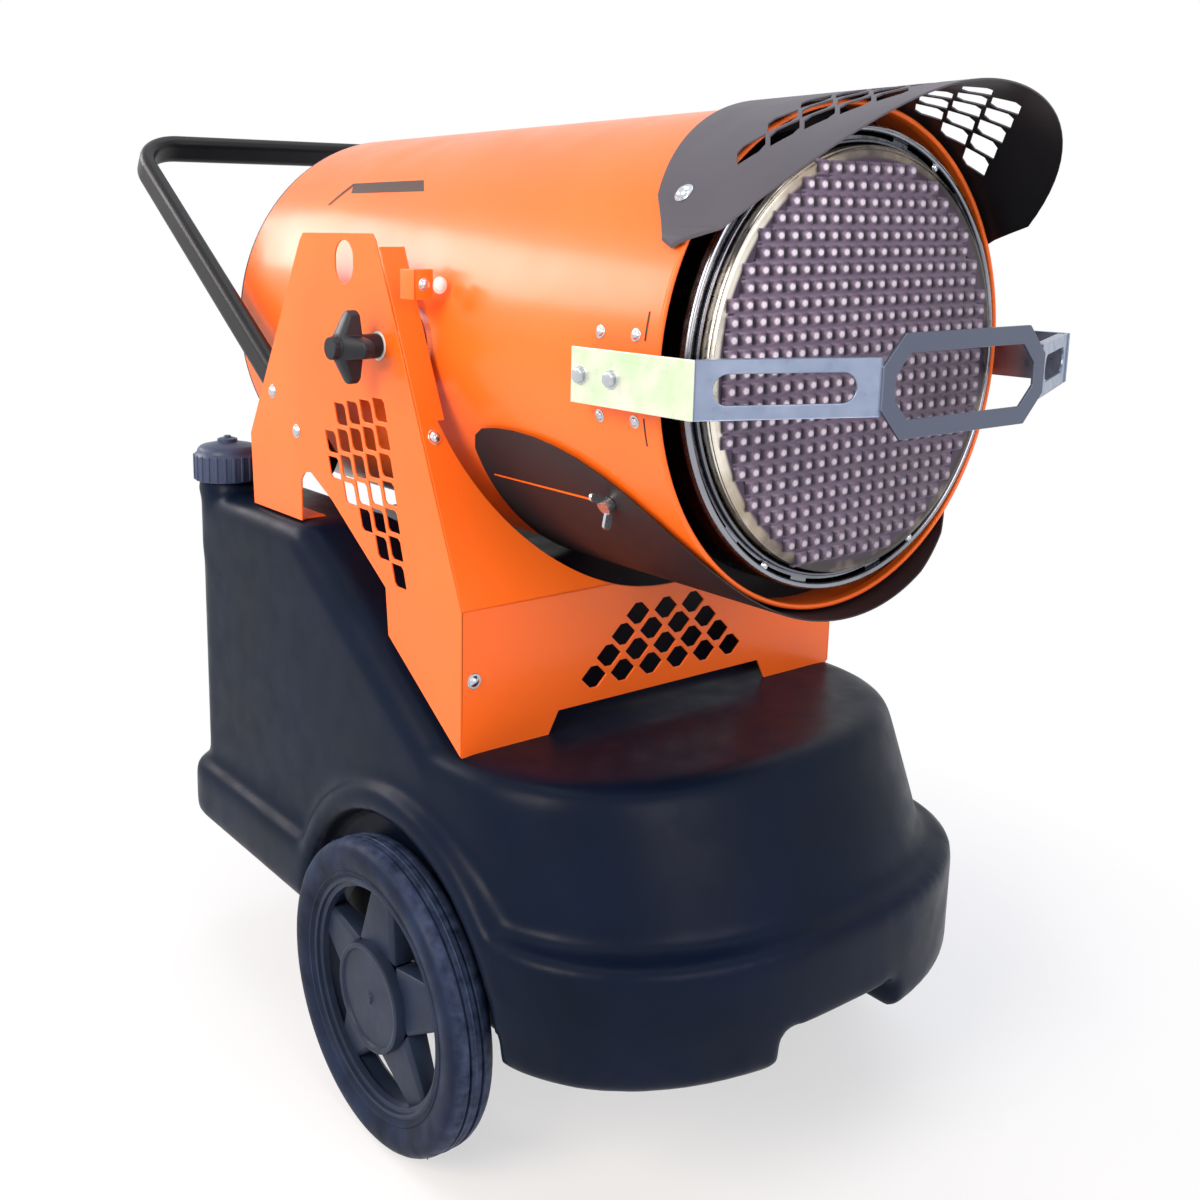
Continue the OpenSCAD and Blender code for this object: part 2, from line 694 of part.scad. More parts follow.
// The handle lies in one slanted plane, and its own X runs across and its own Y up the arms
module handle_tube() color(black) placed() translate([0, bar_y, bar_z]) rotate([arm_angle, 0, 0])
    difference() {
        tube_run(0, 0);
        tube_run(tube_wall, 3);
        for (p = [bolt_1, bolt_2]) rotate([-arm_angle, 0, 0]) translate([0, p[0] - bar_y, p[1] - bar_z])
            rod_x(bolt_r, -stand_x, stand_x);
    }

module handle_bolts() color(zinc) placed() both_sides() for (p = [bolt_1, bolt_2])
    translate([stand_x, p[0], p[1]]) rotate([0, 90, 0]) bolt(5, stand_t + tube_w);

// Drum

// The shanks of the two hood bolts
module hood_shanks() both_sides() rotate([0, hood_bolt_angle, 0]) translate([0, hood_bolt_y, shell_in])
    cylinder(h = hood_in + hood_t - shell_in, r = bolt_r, $fn = round_n);

module drum_shell() color(orange) on_drum() {
    difference() {
        ring_y(drum_r, shell_in, -drum_front, drum_back);
        hood_shanks();
    }
    ring_y(shell_in, shell_in - 5, -drum_front, -drum_front + drum_wall);
}

module front_bulkhead() color(black) on_drum()
    ring_y(shell_in - 0.2, chamber_r + 0.2, bulkhead_y, bulkhead_y + bulkhead_t);

module rear_bulkhead() color(steel) on_drum() difference() {
    ring_y(shell_in - 0.2, chamber_r + 0.2, rear_bulkhead_y, rear_bulkhead_y + bulkhead_t);
    for (i = [0 : 11]) rotate([0, i * 30, 0]) translate([0, rear_bulkhead_y - 5, (shell_in + chamber_r) / 2])
        rotate([-90, 0, 0]) cylinder(h = 20, r = 20, $fn = round_n);
}

slot_n = 12;
module slotted_ring() color(steel) on_drum() {
    y0 = -drum_front - ring_out;
    difference() {
        ring_y(ring_r, ring_r - ring_w, y0, y0 + emitter_t);
        for (i = [0 : slot_n - 1]) rotate([0, i * 360 / slot_n, 0]) along_y(y0 - 1, y0 + 4) slot_outline();
    }
    ring_y(ring_r, ring_r - emitter_t, y0, bulkhead_y);
    ring_y(ring_r - ring_w, ring_r - ring_w - 1.2, y0 - 2, y0 + 10);
}

// One arc slot of (X, Z) in the ring's flange
module slot_outline() intersection() {
    difference() {
        circle(ring_r - 4.5, $fn = fine);
        circle(ring_r - 8.5, $fn = fine);
    }
    far = 300 * [sin(slot_arc / 2), cos(slot_arc / 2)];
    polygon([[0, 0], [-far[0], far[1]], far]);
}

module emitter_pan() color("#d6cfc4") on_drum() {
    y0 = -drum_front - pan_out;
    ring_y(pan_r, pan_r - emitter_t, y0, bulkhead_y);
    ring_y(pan_r, pan_r - 18, y0, y0 + emitter_t);
}

// The plate's stepped edge follows whole cells inside a circle
module emitter_plate() color("#6b6070") on_drum() {
    y0 = -drum_front - pan_out - emitter_t;
    reach = pan_r - 2.5;
    last_row = floor(reach / dimple_h - 0.5);
    along_y(y0, y0 + emitter_t) for (k = [-last_row : last_row]) {
        edge = (abs(k) + 0.5) * dimple_h;
        half = floor(sqrt(reach * reach - edge * edge) / dimple_w + 0.5) - 0.5;
        if (half > 0) translate([-half * dimple_w, (k - 0.5) * dimple_h])
            square([2 * half * dimple_w, dimple_h]);
    }
}

module combustion_chamber() color(steel) on_drum() {
    ring_y(chamber_r, chamber_r - chamber_t, bulkhead_y - 20, chamber_back);
    ring_y(chamber_r, blast_r + 0.3, chamber_back, chamber_back + chamber_t);
}

// Burner

module blast_tube() color(steel) on_drum() {
    ring_y(blast_r, blast_r - blast_t, 50, blast_back);
    ring_y(blast_r + 25, blast_r, chamber_back + chamber_t, chamber_back + chamber_t + 4);
}

module flame_disc() color(steel) on_drum() difference() {
    ring_y(blast_r - blast_t - 0.2, 9, 66, 68);
    for (i = [0 : 7]) rotate([0, i * 45, 0]) along_y(60, 75) translate([-1.5, 18]) square([3, 18]);
    for (s = [-1, 1]) along_y(60, 75) translate([s * 12, -11]) circle(3.5, $fn = round_n);
}

module fuel_nozzle() color("#c8a24a") on_drum() {
    rod_y(9, 66, 110);
    along_y(58, 66) circle(8, $fn = 6);
    rod_y(4, 110, blast_back - 4);
}

module electrodes() color("ivory") on_drum() both_sides() {
    translate([12, 0, -11]) rod_y(3.5, 60, 120);
    translate([12, 0, -11]) rod_y(1.2, 46, 60);
}

module fan_housing() color(steel) on_drum() {
    back = blast_back + scroll_len;
    difference() {
        union() {
            rod_y(scroll_r, blast_back, back);
            along_y(blast_back, back) translate([0, -scroll_r]) square([scroll_r + 26, 54]);
        }
        rod_y(scroll_r - scroll_t, blast_back + scroll_t, back - scroll_t);
        along_y(blast_back + scroll_t, back - scroll_t)
            translate([40, -scroll_r + scroll_t]) square([100, 46]);
        rod_y(blast_r - blast_t, blast_back - 1, blast_back + scroll_t + 1);
        rod_y(shaft_r + 3, back - scroll_t - 1, back + 1);
    }
}

fan_r = 78;
blade_n = 24;
module fan_impeller() color("silver") on_drum() {
    y0 = blast_back + 16;
    ring_y(fan_r, shaft_r, y0 + 34, y0 + 37);
    ring_y(14, shaft_r, y0 + 14, y0 + 34);
    ring_y(fan_r, fan_r - 22, y0, y0 + 2);
    for (i = [0 : blade_n - 1]) rotate([0, i * 360 / blade_n, 0])
        translate([-0.8, y0, fan_r - 20]) cube([1.6, 35, 18]);
}

module motor_shaft() color(zinc) on_drum()
    rod_y(shaft_r, blast_back + 18, blast_back + scroll_len + motor_len - 8);

module fan_motor() color("#5a6470") on_drum() {
    y0 = blast_back + scroll_len;
    difference() {
        union() {
            rod_y(motor_r, y0, y0 + motor_len);
            for (i = [0 : 17]) rotate([0, i * 20, 0])
                translate([-1.5, y0 + 20, motor_r - 2]) cube([3, 80, 6]);
        }
        rod_y(shaft_r + run_gap, y0 - 1, y0 + motor_len - 7);
    }
}

module motor_cradle() color(graphite) on_drum() difference() {
    y0 = blast_back + scroll_len + 30;
    along_y(y0, y0 + 60) translate([-34, tray_z + tray_t]) square([68, 80]);
    rod_y(motor_r + 4.2, y0 - 1, y0 + 61);
    along_y(y0 - 1, y0 + 61) translate([-28, tray_z + tray_t + 6]) square([56, 42]);
}

module fuel_pump() color("#8c8f94") on_drum() {
    y0 = blast_back + scroll_len + motor_len;
    rod_y(26, y0, y0 + 34);
    translate([-14, y0 + 8, 20]) cube([28, 20, 24]);
    translate([26, y0 + 18, 0]) rotate([0, 90, 0]) translate([0, 0, -4]) cylinder(h = 14, r = 6, $fn = 6);
}

module burner_tray() color(steel) on_drum() difference() {
    translate([-tray_half, 130, tray_z]) cube([2 * tray_half, drum_back - 132, tray_t]);
    for (x = [-110, 110], y = [180, 230, 280])
        translate([x, y, tray_z - 1]) cylinder(h = 5, r = 14, $fn = round_n);
}

coil_w = 70;
coil_len = 92;
coil_h = 56;
module transformer() color("#30343b") on_drum()
    translate([30 - tray_half, drum_back - coil_len - 35, tray_z + tray_t]) {
        cube([coil_w, coil_len, coil_h]);
        for (y = [20, coil_len - 20])
            translate([coil_w - 20, y, coil_h]) cylinder(h = 14, r = 7, $fn = round_n);
    }

// Rear cover and controls

module rear_cover() color(graphite) on_drum() difference() {
    rod_y(drum_r, drum_back, box_y);
    for (k = [-6 : 6], i = [-8 : 8]) {
        x = (i + (abs(k) % 2) / 2) * 23;
        z = k * 26;
        if (sqrt(x * x + z * z) < drum_r - 24 && !(abs(x) < box_w / 2 + 14 && abs(z) < box_h / 2 + 16))
            translate([x, 0, z]) along_y(drum_back - 1, box_y + 1) cell_up(17, 27, 13.5);
    }
}

module control_box() color(black) on_drum() difference() {
    translate([-box_w / 2, box_y, -box_h / 2]) cube([box_w, box_d, box_h]);
    translate([switch_x - 16, switch_y - 12, switch_z - 12]) cube([32, 20, 24]);
    translate([switch_x, switch_y - 3, switch_z]) rod_x(1.5 + run_gap, -18, 18);
    translate([34, 0, 14]) rod_y(5 + run_gap, box_y + box_d - 12, box_y + box_d + 1);
    translate([-box_w / 2 - 1, 0, 0]) translate([0, box_y + 16, -26]) rod_x(11, 0, 20);
}

module inlet_gland() color(black) on_drum() translate([-box_w / 2, box_y + 16, -26]) {
    ring_x(11, 6, -2, 14);
    translate([-8, 0, 0]) rotate([0, 90, 0]) difference() {
        cylinder(h = 6, r = 14, $fn = 6);
        translate([0, 0, -1]) cylinder(h = 8, r = 6, $fn = round_n);
    }
    ring_x(10, 6, -20, -8);
}

module power_switch() color("red") on_drum() translate([switch_x, switch_y, switch_z]) {
    along_x(-15, 15) polygon([[-8, -8], [-8, 8], [2, 10.5], [4.5, 10.5], [1.5, 0], [2.5, -10.5], [0, -10.5]]);
    translate([0, -3, 0]) rod_x(1.5, -17.5, 17.5);
}

module heat_knob() color(black) on_drum() translate([34, box_y + box_d, 14]) {
    rod_y(5, -11, free_gap);
    rod_y(18, free_gap, 14);
    translate([-2.5, 13, -16]) cube([5, 8, 32]);
}

// Hood, deflector and guard

// The hood's plan outline of (X, Y)
module hood_plan() {
    tip_x = hood_in * sin(hood_half);
    a = hood_half;
    polygon(concat(
        [for (t = [-a + 4 : 3 : a - 4])
            [(hood_in + 2) * sin(t), -hood_nose + (hood_nose - 300) * pow(abs(t) / a, 2.6)]],
        [[tip_x - 1, -284], [tip_x + 2, -272], [tip_x - 1, -258], [tip_x - 8, -249]],
        [for (t = [a - 10 : -3 : -a + 10]) [hood_in * sin(t), -hood_back - 62 * pow(abs(t) / a, 2)]],
        [[8 - tip_x, -249], [1 - tip_x, -258], [-tip_x - 2, -272], [1 - tip_x, -284]]));
}

hood_rows = [5, 5, 3];
hood_cell_step = 18.1;
hood_cell_turn = 5.2;
hood_row_turn = 10.4;
hood_low_turn = 39.5;
module hood() color(graphite) on_drum() difference() {
    intersection() {
        ring_y(hood_in + hood_t, hood_in, -hood_nose - 5, -hood_back + 5);
        linear_extrude(hood_in + 20) hood_plan();
    }
    for (s = [-1, 1], k = [0 : len(hood_rows) - 1], i = [0 : hood_rows[k] - 1])
        rotate([0, s * (hood_low_turn - k * hood_row_turn - i * hood_cell_turn), 0])
            translate([0, -295 - i * hood_cell_step, hood_in - 5])
                linear_extrude(20) rotate(90) cell_up(22, 37.5, 9);
    hood_shanks();
}

module hood_bolts() color(zinc) on_drum() {
    hood_shanks();
    both_sides() rotate([0, hood_bolt_angle, 0]) translate([0, hood_bolt_y, 0]) {
        translate([0, 0, hood_in + hood_t]) cylinder(h = 5, r = 7, $fn = 6);
        translate([0, 0, drum_r]) difference() {
            cylinder(h = hood_gap - free_gap, r = 9, $fn = round_n);
            translate([0, 0, -1]) cylinder(h = hood_gap + 2, r = bolt_r, $fn = round_n);
        }
    }
}

leaf_front = -drum_front - 23;
leaf_back = -20;
slit_angle = 121.5;
slit_w = 2.5;
slit_len = 160;
latch_angle = 121;
latch_y = -200;
leaf_seat_r = 8;

// The deflector's side outline of (Y, Z), which slants down towards the front
module leaf_outline() polygon(concat(
    [[leaf_back, -leaf_in - leaf_t], [leaf_back, -92], [leaf_back - 8, -78]],
    curve([[leaf_back - 22, -70], [leaf_back - 110, -52], [leaf_front + 11, -88], [leaf_front, -230]], 12),
    [[leaf_front, -leaf_in - leaf_t]]));

// The deflector's sheet and the spacers between it and the drum
module deflector() color(black) on_drum() {
    intersection() {
        ring_y(leaf_in + leaf_t, leaf_in, leaf_front - 1, leaf_back + 1);
        difference() {
            along_x(-leaf_in - leaf_t, leaf_in + leaf_t) leaf_outline();
            both_sides() rotate([0, slit_angle, 0]) translate([-slit_w / 2, latch_y + leaf_seat_r, 0])
                cube([slit_w, slit_len, leaf_in + 2 * leaf_t]);
        }
    }
    for (a = [-latch_angle, latch_angle, 180], y = [latch_y, latch_y + 140]) rotate([0, a, 0])
        translate([0, y, drum_r]) cylinder(h = leaf_gap + 0.3, r = leaf_seat_r, $fn = round_n);
}
// A wing screw, along +Z
module wing_screw() {
    cylinder(h = 8, r = 7, $fn = round_n);
    for (s = [-1, 1]) hull() {
        translate([s * 5, 0, 4]) rotate([90, 0, 0]) cylinder(h = 3, r = 3, center = true, $fn = edge_n);
        translate([s * 15, 0, 12]) rotate([90, 0, 0]) cylinder(h = 3, r = 4, center = true, $fn = edge_n);
    }
}

module latch_at(s) on_drum() rotate([0, s * latch_angle, 0])
    translate([0, latch_y, leaf_in + leaf_t + free_gap]) children();

module latch_left() color(zinc) latch_at(-1) wing_screw();
module latch_right() color(zinc) latch_at(1) wing_screw();

guard_mid = -3;
arm_back = -203;
arm_front = -340;
guard_bolts = [-215, -252];
bracket_h = 40;
bracket_t = 3;
flange = 8;

// The slanted strip from the side arm to the middle plate, on the +X side
module guard_slant() {
    run = guard_x - guard_nose_x;
    rise = guard_nose + arm_front;
    len = sqrt(run * run + rise * rise);
    translate([guard_x, arm_front, guard_mid]) rotate([0, 0, 180 + atan2(rise, run)]) {
        difference() {
            translate([-1, -guard_t, -guard_h / 2]) cube([len + 3, guard_t, guard_h]);
            for (x = [26, len - 30])
                translate([x, 5, 0]) rotate([90, 0, 0]) cylinder(h = 20, r = 11.5, $fn = round_n);
            translate([26, -20, -11.5]) cube([len - 56, 30, 23]);
        }
        for (z = [-guard_h / 2, guard_h / 2 - guard_t])
            translate([10, -flange, z]) cube([len - 24, flange, guard_t]);
    }
}

// The middle plate's outline of (X, Z), drawn in by inset
module loop_outline(inset) {
    x = guard_nose_x - inset;
    z = loop_h / 2 - inset;
    c = 24 - inset / 2;
    polygon([[-x, -z + c], [-x + c, -z], [x - c, -z], [x, -z + c],
        [x, z - c], [x - c, z], [c - x, z], [-x, z - c]]);
}

module guard_strip() color("#9aa7b8") on_drum() {
    both_sides() {
        difference() {
            translate([guard_x, arm_front - 1, guard_mid - guard_h / 2])
                cube([guard_t, arm_back - arm_front + 1, guard_h]);
            for (y = guard_bolts) translate([0, y, guard_mid]) rod_x(bolt_r, guard_x - 1, guard_x + 10);
        }
        guard_slant();
    }
    along_y(-guard_nose - guard_t, -guard_nose) translate([0, guard_mid - 1]) difference() {
        loop_outline(0);
        loop_outline(15);
    }
}

// A channel between the drum and each side arm, and the bolts through both
module guard_brackets() color(orange) on_drum() both_sides() {
    front = guard_bolts[1] - 12;
    deep = guard_gap + 20;
    difference() {
        translate([guard_x - deep, front, guard_mid - bracket_h / 2])
            cube([deep, arm_back - front, bracket_h]);
        translate([guard_x - deep - 1, front - 1, guard_mid - bracket_h / 2 + bracket_t])
            cube([deep + 1 - guard_t, arm_back - front + 2, bracket_h - 2 * bracket_t]);
        along_y(front - 1, arm_back + 1) circle(drum_r, $fn = drum_n);
        for (y = guard_bolts) translate([0, y, guard_mid]) rod_x(bolt_r, guard_x - 10, guard_x + 10);
    }
    for (y = guard_bolts)
        translate([guard_x + guard_t, y, guard_mid]) rotate([0, 90, 0]) bolt(5, guard_t + 6);
}

module drum_rivets() color(zinc) on_drum() both_sides() for (y = guard_bolts, a = [82, 100]) rotate([0, a, 0])
    translate([0, y, drum_r]) screw_head(5, 2.5);

// Tilt pivots and knobs

stud_end = stand_x + 34;
module pivot_studs() color(steel) on_drum() both_sides() translate([0, pivot_y, 0]) {
    difference() {
        rod_x(38, drum_r - 16, drum_r + 6);
        translate([0, -pivot_y, 0]) along_y(pivot_y - 50, pivot_y + 50) circle(drum_r, $fn = drum_n);
    }
    rod_x(14, drum_r + 6, panel_in - bush_out - free_gap);
    rod_x(pivot_r, panel_in - bush_out - free_gap, stud_end);
}

// A lobed clamping knob on the +X side
module knob_solid() translate([0, pivot_y, 0]) {
    x0 = stand_x + free_gap;
    x1 = x0 + knob_collar_len;
    ring_x(knob_collar_r, pivot_r + run_gap, x0, x1);
    difference() {
        union() {
            for (i = [0 : 3]) rotate([i * 90, 0, 0]) hull() {
                translate([x1, 0, 0]) rotate([0, 90, 0]) cylinder(h = 22, r = 13, $fn = edge_n);
                translate([x1 + 1, 0, knob_r - 9]) rotate([0, 90, 0]) cylinder(h = 10, r = 9, $fn = edge_n);
            }
            rod_x(11, x1, x1 + 30);
        }
        rod_x(pivot_r + run_gap, x0 + 10, stud_end + free_gap);
    }
}

module knob_left() color(black) on_drum() scale_x(-1) knob_solid();
module knob_right() color(black) on_drum() knob_solid();

tank_body();
filler_neck();
tank_gasket();
fuel_cap();
cap_grip();
axle();
axle_saddles();
axle_washers();
wheel_rim_left();
wheel_rim_right();
tyre_left();
tyre_right();
hub_disc_left();
hub_disc_right();
castor_plate();
castor_fork();
castor_pin();
castor_wheel();
side_panel_left();
side_panel_right();
front_panel();
stand_screws();
pivot_bushes();
handle_tube();
handle_bolts();
drum_shell();
front_bulkhead();
rear_bulkhead();
slotted_ring();
emitter_pan();
emitter_plate();
combustion_chamber();
blast_tube();
flame_disc();
fuel_nozzle();
electrodes();
fan_housing();
fan_impeller();
motor_shaft();
fan_motor();
motor_cradle();
fuel_pump();
burner_tray();
transformer();
rear_cover();
control_box();
inlet_gland();
power_switch();
heat_knob();
hood();
hood_bolts();
deflector();
latch_left();
latch_right();
guard_strip();
guard_brackets();
drum_rivets();
pivot_studs();
knob_left();
knob_right();
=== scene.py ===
"""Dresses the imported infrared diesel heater: its finishes, finer pieces, floor, light and camera.

Lengths are in metres, and a name that ends in _mm says otherwise. X is across, the emitter
faces -Y and Z is up. Angles round the drum are in degrees from the top, and grow towards +X.
"""

from __future__ import annotations

import logging
import math
from dataclasses import dataclass
from enum import Enum

import bmesh
import bpy
from mathutils import Matrix, Vector


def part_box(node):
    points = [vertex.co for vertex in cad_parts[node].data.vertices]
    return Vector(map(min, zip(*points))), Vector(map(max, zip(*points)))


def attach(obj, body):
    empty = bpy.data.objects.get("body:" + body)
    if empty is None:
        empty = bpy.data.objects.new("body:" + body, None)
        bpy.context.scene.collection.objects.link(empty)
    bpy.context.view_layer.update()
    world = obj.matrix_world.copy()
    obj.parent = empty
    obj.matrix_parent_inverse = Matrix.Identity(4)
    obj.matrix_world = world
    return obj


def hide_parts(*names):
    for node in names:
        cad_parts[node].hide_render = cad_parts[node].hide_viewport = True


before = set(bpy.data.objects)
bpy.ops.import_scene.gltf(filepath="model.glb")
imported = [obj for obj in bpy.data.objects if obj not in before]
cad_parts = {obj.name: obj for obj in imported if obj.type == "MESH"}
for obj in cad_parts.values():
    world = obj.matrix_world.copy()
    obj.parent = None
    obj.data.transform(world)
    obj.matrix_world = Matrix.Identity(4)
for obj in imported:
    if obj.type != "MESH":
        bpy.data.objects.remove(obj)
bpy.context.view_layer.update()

LOG = logging.getLogger("heater")
MM = 0.001
FULL = 2 * math.pi
QUARTER = math.pi / 2

# The radius at which a turned shape closes on its axis
CORE = 1e-4
# How near two points of a node's mesh lie that are one
WELD = 5e-6
# The values between which nearly all of a noise lies
CLOUD = {"From Min": 0.3, "From Max": 0.7}
# The planes in which a distance from an axis is measured
ROUND_Y = (1.0, 0.0, 1.0)
ROUND_X = (0.0, 1.0, 1.0)

Pair = tuple[float, float]
Triple = tuple[float, float, float]
Profile = list[Pair]
Inputs = dict[str | int, object]
Socket = bpy.types.NodeSocket
Shape = bmesh.types.BMesh


def linear(code: str) -> tuple[float, ...]:
    """Turns an sRGB hex colour into linear red, green, blue and alpha.

    Args:
        code: the colour, such as "#ff6a2a".

    Returns:
        The four linear components.
    """
    parts = [int(code[i : i + 2], 16) / 255 for i in (1, 3, 5)]
    return (*[p / 12.92 if p <= 0.04045 else ((p + 0.055) / 1.055) ** 2.4 for p in parts], 1.0)


def middle(node: str) -> Vector:
    """Returns the centre of a node's box."""
    low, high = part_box(node)
    return (Vector(low) + Vector(high)) / 2


# Places that many pieces share
HUB = middle("axle")
DRUM_AXIS = middle("drum_shell")
DRUM_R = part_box("drum_shell")[1][0]
DRUM_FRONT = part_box("drum_shell")[0][1]
DRUM_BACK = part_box("drum_shell")[1][1]
# How far the emitter's dimples stand apart, across and upright
DIMPLE_PITCH = (0.0158, 0.0134)


# Finishes


def add(
    tree: bpy.types.NodeTree, kind: str, inputs: Inputs | None = None, **settings: object
) -> bpy.types.Node:
    """Adds one node with its settings, and sets or links its inputs.

    Args:
        tree: the node tree that gets the node.
        kind: the node's type name.
        inputs: for each input's name or place, a value or the socket that feeds it.
        **settings: the node's own properties.

    Returns:
        The new node.
    """
    made = tree.nodes.new(kind)
    for name, value in settings.items():
        setattr(made, name, value)
    for name, value in (inputs or {}).items():
        if isinstance(value, Socket):
            tree.links.new(value, made.inputs[name])
        else:
            made.inputs[name].default_value = value
    return made


@dataclass
class Recipe:
    """A material in the making, with the effects that several finishes share."""

    name: str

    def __post_init__(self) -> None:
        """Starts an empty material and its Object coordinates."""
        self.made = bpy.data.materials.new(self.name)
        self.made.use_nodes = True
        self.tree = self.made.node_tree
        self.tree.nodes.clear()
        self.coords = add(self.tree, "ShaderNodeTexCoord").outputs["Object"]

    def uneven(self, size_mm: float, low: float, high: float, detail: float = 3.0) -> Socket:
        """Makes a value that wanders in patches of a real size.

        Args:
            size_mm: the size of the patches.
            low: the least value.
            high: the greatest value.
            detail: how many finer layers there are.

        Returns:
            The value.
        """
        inputs = {"Vector": self.coords, "Scale": 1 / (size_mm * MM), "Detail": detail}
        cloud = add(self.tree, "ShaderNodeTexNoise", inputs)
        limits = {"Value": cloud.outputs[0], **CLOUD, "To Min": low, "To Max": high}
        return add(self.tree, "ShaderNodeMapRange", limits).outputs[0]

    def between(self, factor: object, first: object, second: object) -> Socket:
        """Blends two colours, each a hex code or a socket, by how much of the second shows."""
        low, high = (linear(c) if isinstance(c, str) else c for c in (first, second))
        return add(self.tree, "ShaderNodeMix", {0: factor, 6: low, 7: high}, data_type="RGBA").outputs[2]

    def relief(self, size_mm: float, depth_mm: float, detail: float = 2.0, under: object = None) -> Socket:
        """Makes bumps of a real size and depth.

        Args:
            size_mm: the size of the bumps.
            depth_mm: their depth.
            detail: how many finer layers there are.
            under: a normal that lies beneath these bumps.

        Returns:
            The normal.
        """
        patches = {"Vector": self.coords, "Scale": 1 / (size_mm * MM), "Detail": detail}
        cloud = add(self.tree, "ShaderNodeTexNoise", patches)
        inputs = {"Height": cloud.outputs[0], "Distance": depth_mm * MM, "Strength": 0.5}
        if under is not None:
            inputs["Normal"] = under
        return add(self.tree, "ShaderNodeBump", inputs).outputs[0]

    def radius(self, centre: Triple, across: Triple) -> Socket:
        """Measures the distance from a centre in a plane.

        Args:
            centre: the centre.
            across: 1 for each axis that counts and 0 for the other.

        Returns:
            The distance.
        """
        moved = add(self.tree, "ShaderNodeVectorMath", {0: self.coords, 1: centre}, operation="SUBTRACT")
        inputs = {0: moved.outputs[0], 1: across}
        flat = add(self.tree, "ShaderNodeVectorMath", inputs, operation="MULTIPLY").outputs[0]
        return add(self.tree, "ShaderNodeVectorMath", {0: flat}, operation="LENGTH").outputs["Value"]

    def ramp(self, value: object, start: float, end: float, high: float = 1.0) -> Socket:
        """Returns what climbs from 0 to high while a value goes from start to end."""
        inputs = {"Value": value, "From Min": start, "From Max": end, "To Max": high}
        return add(self.tree, "ShaderNodeMapRange", inputs).outputs[0]

    def close(self, inputs: Inputs) -> bpy.types.Material:
        """Ends the material with one Principled shader.

        Args:
            inputs: the shader's inputs.

        Returns:
            The finished material.
        """
        shader = add(self.tree, "ShaderNodeBsdfPrincipled", inputs)
        add(self.tree, "ShaderNodeOutputMaterial", {"Surface": shader.outputs["BSDF"]})
        return self.made


@dataclass(frozen=True)
class PowderCoat:
    """Baked powder paint on steel: a thick even film whose orange peel breaks up its reflections."""

    name: str
    colour: str
    shade: str
    roughness: float
    peel_mm: float = 6.0
    coat: float = 0.0
    coat_roughness: float = 0.1
    specular: float = 0.5

    def material(self) -> bpy.types.Material:
        """Builds the paint, with a slight drift of colour and gloss.

        Returns:
            The material.
        """
        recipe = Recipe(self.name)
        waves = recipe.relief(90, 0.35, 1)
        return recipe.close({
            "Base Color": recipe.between(recipe.uneven(180, 0, 1), self.colour, self.shade),
            "Roughness": recipe.uneven(60, self.roughness - 0.04, self.roughness + 0.06, 4),
            "Normal": recipe.relief(self.peel_mm, 0.10, 1, waves),
            "Specular IOR Level": self.specular,
            "Coat Weight": self.coat,
            "Coat Roughness": self.coat_roughness,
        })


@dataclass(frozen=True)
class RotomouldedPolyethylene:
    """Polyethylene from a turning mould: satin, with a fine skin, shrink waves and dust near the floor."""

    name: str
    colour: str
    shade: str
    dust: str
    roughness: float
    floor: float
    dust_height: float

    def material(self) -> bpy.types.Material:
        """Builds the plastic.

        Returns:
            The material.
        """
        recipe = Recipe(self.name)
        height = add(recipe.tree, "ShaderNodeSeparateXYZ", {"Vector": recipe.coords}).outputs["Z"]
        low = recipe.ramp(height, self.floor + self.dust_height, self.floor, 0.30)
        patches = recipe.uneven(30, 0, 1, 6)
        dusty = add(recipe.tree, "ShaderNodeMath", {0: low, 1: patches}, operation="MULTIPLY").outputs[0]
        body = recipe.between(recipe.uneven(120, 0, 1), self.colour, self.shade)
        # The mould's skin texture is about 1 mm, drawn at 3 mm so that it shows
        skin = recipe.relief(3.0, 0.12, 3, recipe.relief(170, 1.6, 0))
        return recipe.close({
            "Base Color": recipe.between(dusty, body, self.dust),
            "Roughness": recipe.uneven(35, self.roughness - 0.06, self.roughness + 0.08, 5),
            "Normal": skin,
            "IOR": 1.51,
            "Specular IOR Level": 0.08,
        })


@dataclass(frozen=True)
class MouldedPlastic:
    """Injection-moulded plastic or rubber with a fine matt grain."""

    name: str
    colour: str
    shade: str
    roughness: float
    specular: float = 0.3

    def material(self) -> bpy.types.Material:
        """Builds the plastic.

        Returns:
            The material.
        """
        recipe = Recipe(self.name)
        return recipe.close({
            "Base Color": recipe.between(recipe.uneven(40, 0, 1), self.colour, self.shade),
            "Roughness": recipe.uneven(18, self.roughness - 0.05, self.roughness + 0.08, 5),
            "Normal": recipe.relief(2.5, 0.10, 3),
            "IOR": 1.5,
            "Specular IOR Level": self.specular,
        })


@dataclass(frozen=True)
class TyreRubber:
    """Cured rubber: satin side walls with a bluish bloom, and a tread that has picked up dust."""

    name: str
    colour: str
    bloom: str
    dust: str
    centre: Triple
    tread_radius: float

    def material(self) -> bpy.types.Material:
        """Builds the rubber.

        Returns:
            The material.
        """
        recipe = Recipe(self.name)
        radius = recipe.radius(self.centre, ROUND_X)
        near = recipe.ramp(radius, self.tread_radius - 7 * MM, self.tread_radius, 0.6)
        patches = recipe.uneven(12, 0, 1, 6)
        dusty = add(recipe.tree, "ShaderNodeMath", {0: near, 1: patches}, operation="MULTIPLY").outputs[0]
        wall = recipe.between(recipe.uneven(50, 0, 1, 4), self.colour, self.bloom)
        return recipe.close({
            "Base Color": recipe.between(dusty, wall, self.dust),
            "Roughness": recipe.uneven(16, 0.40, 0.58, 5),
            "Normal": recipe.relief(3.0, 0.15, 3),
            "IOR": 1.52,
            "Specular IOR Level": 0.1,
        })


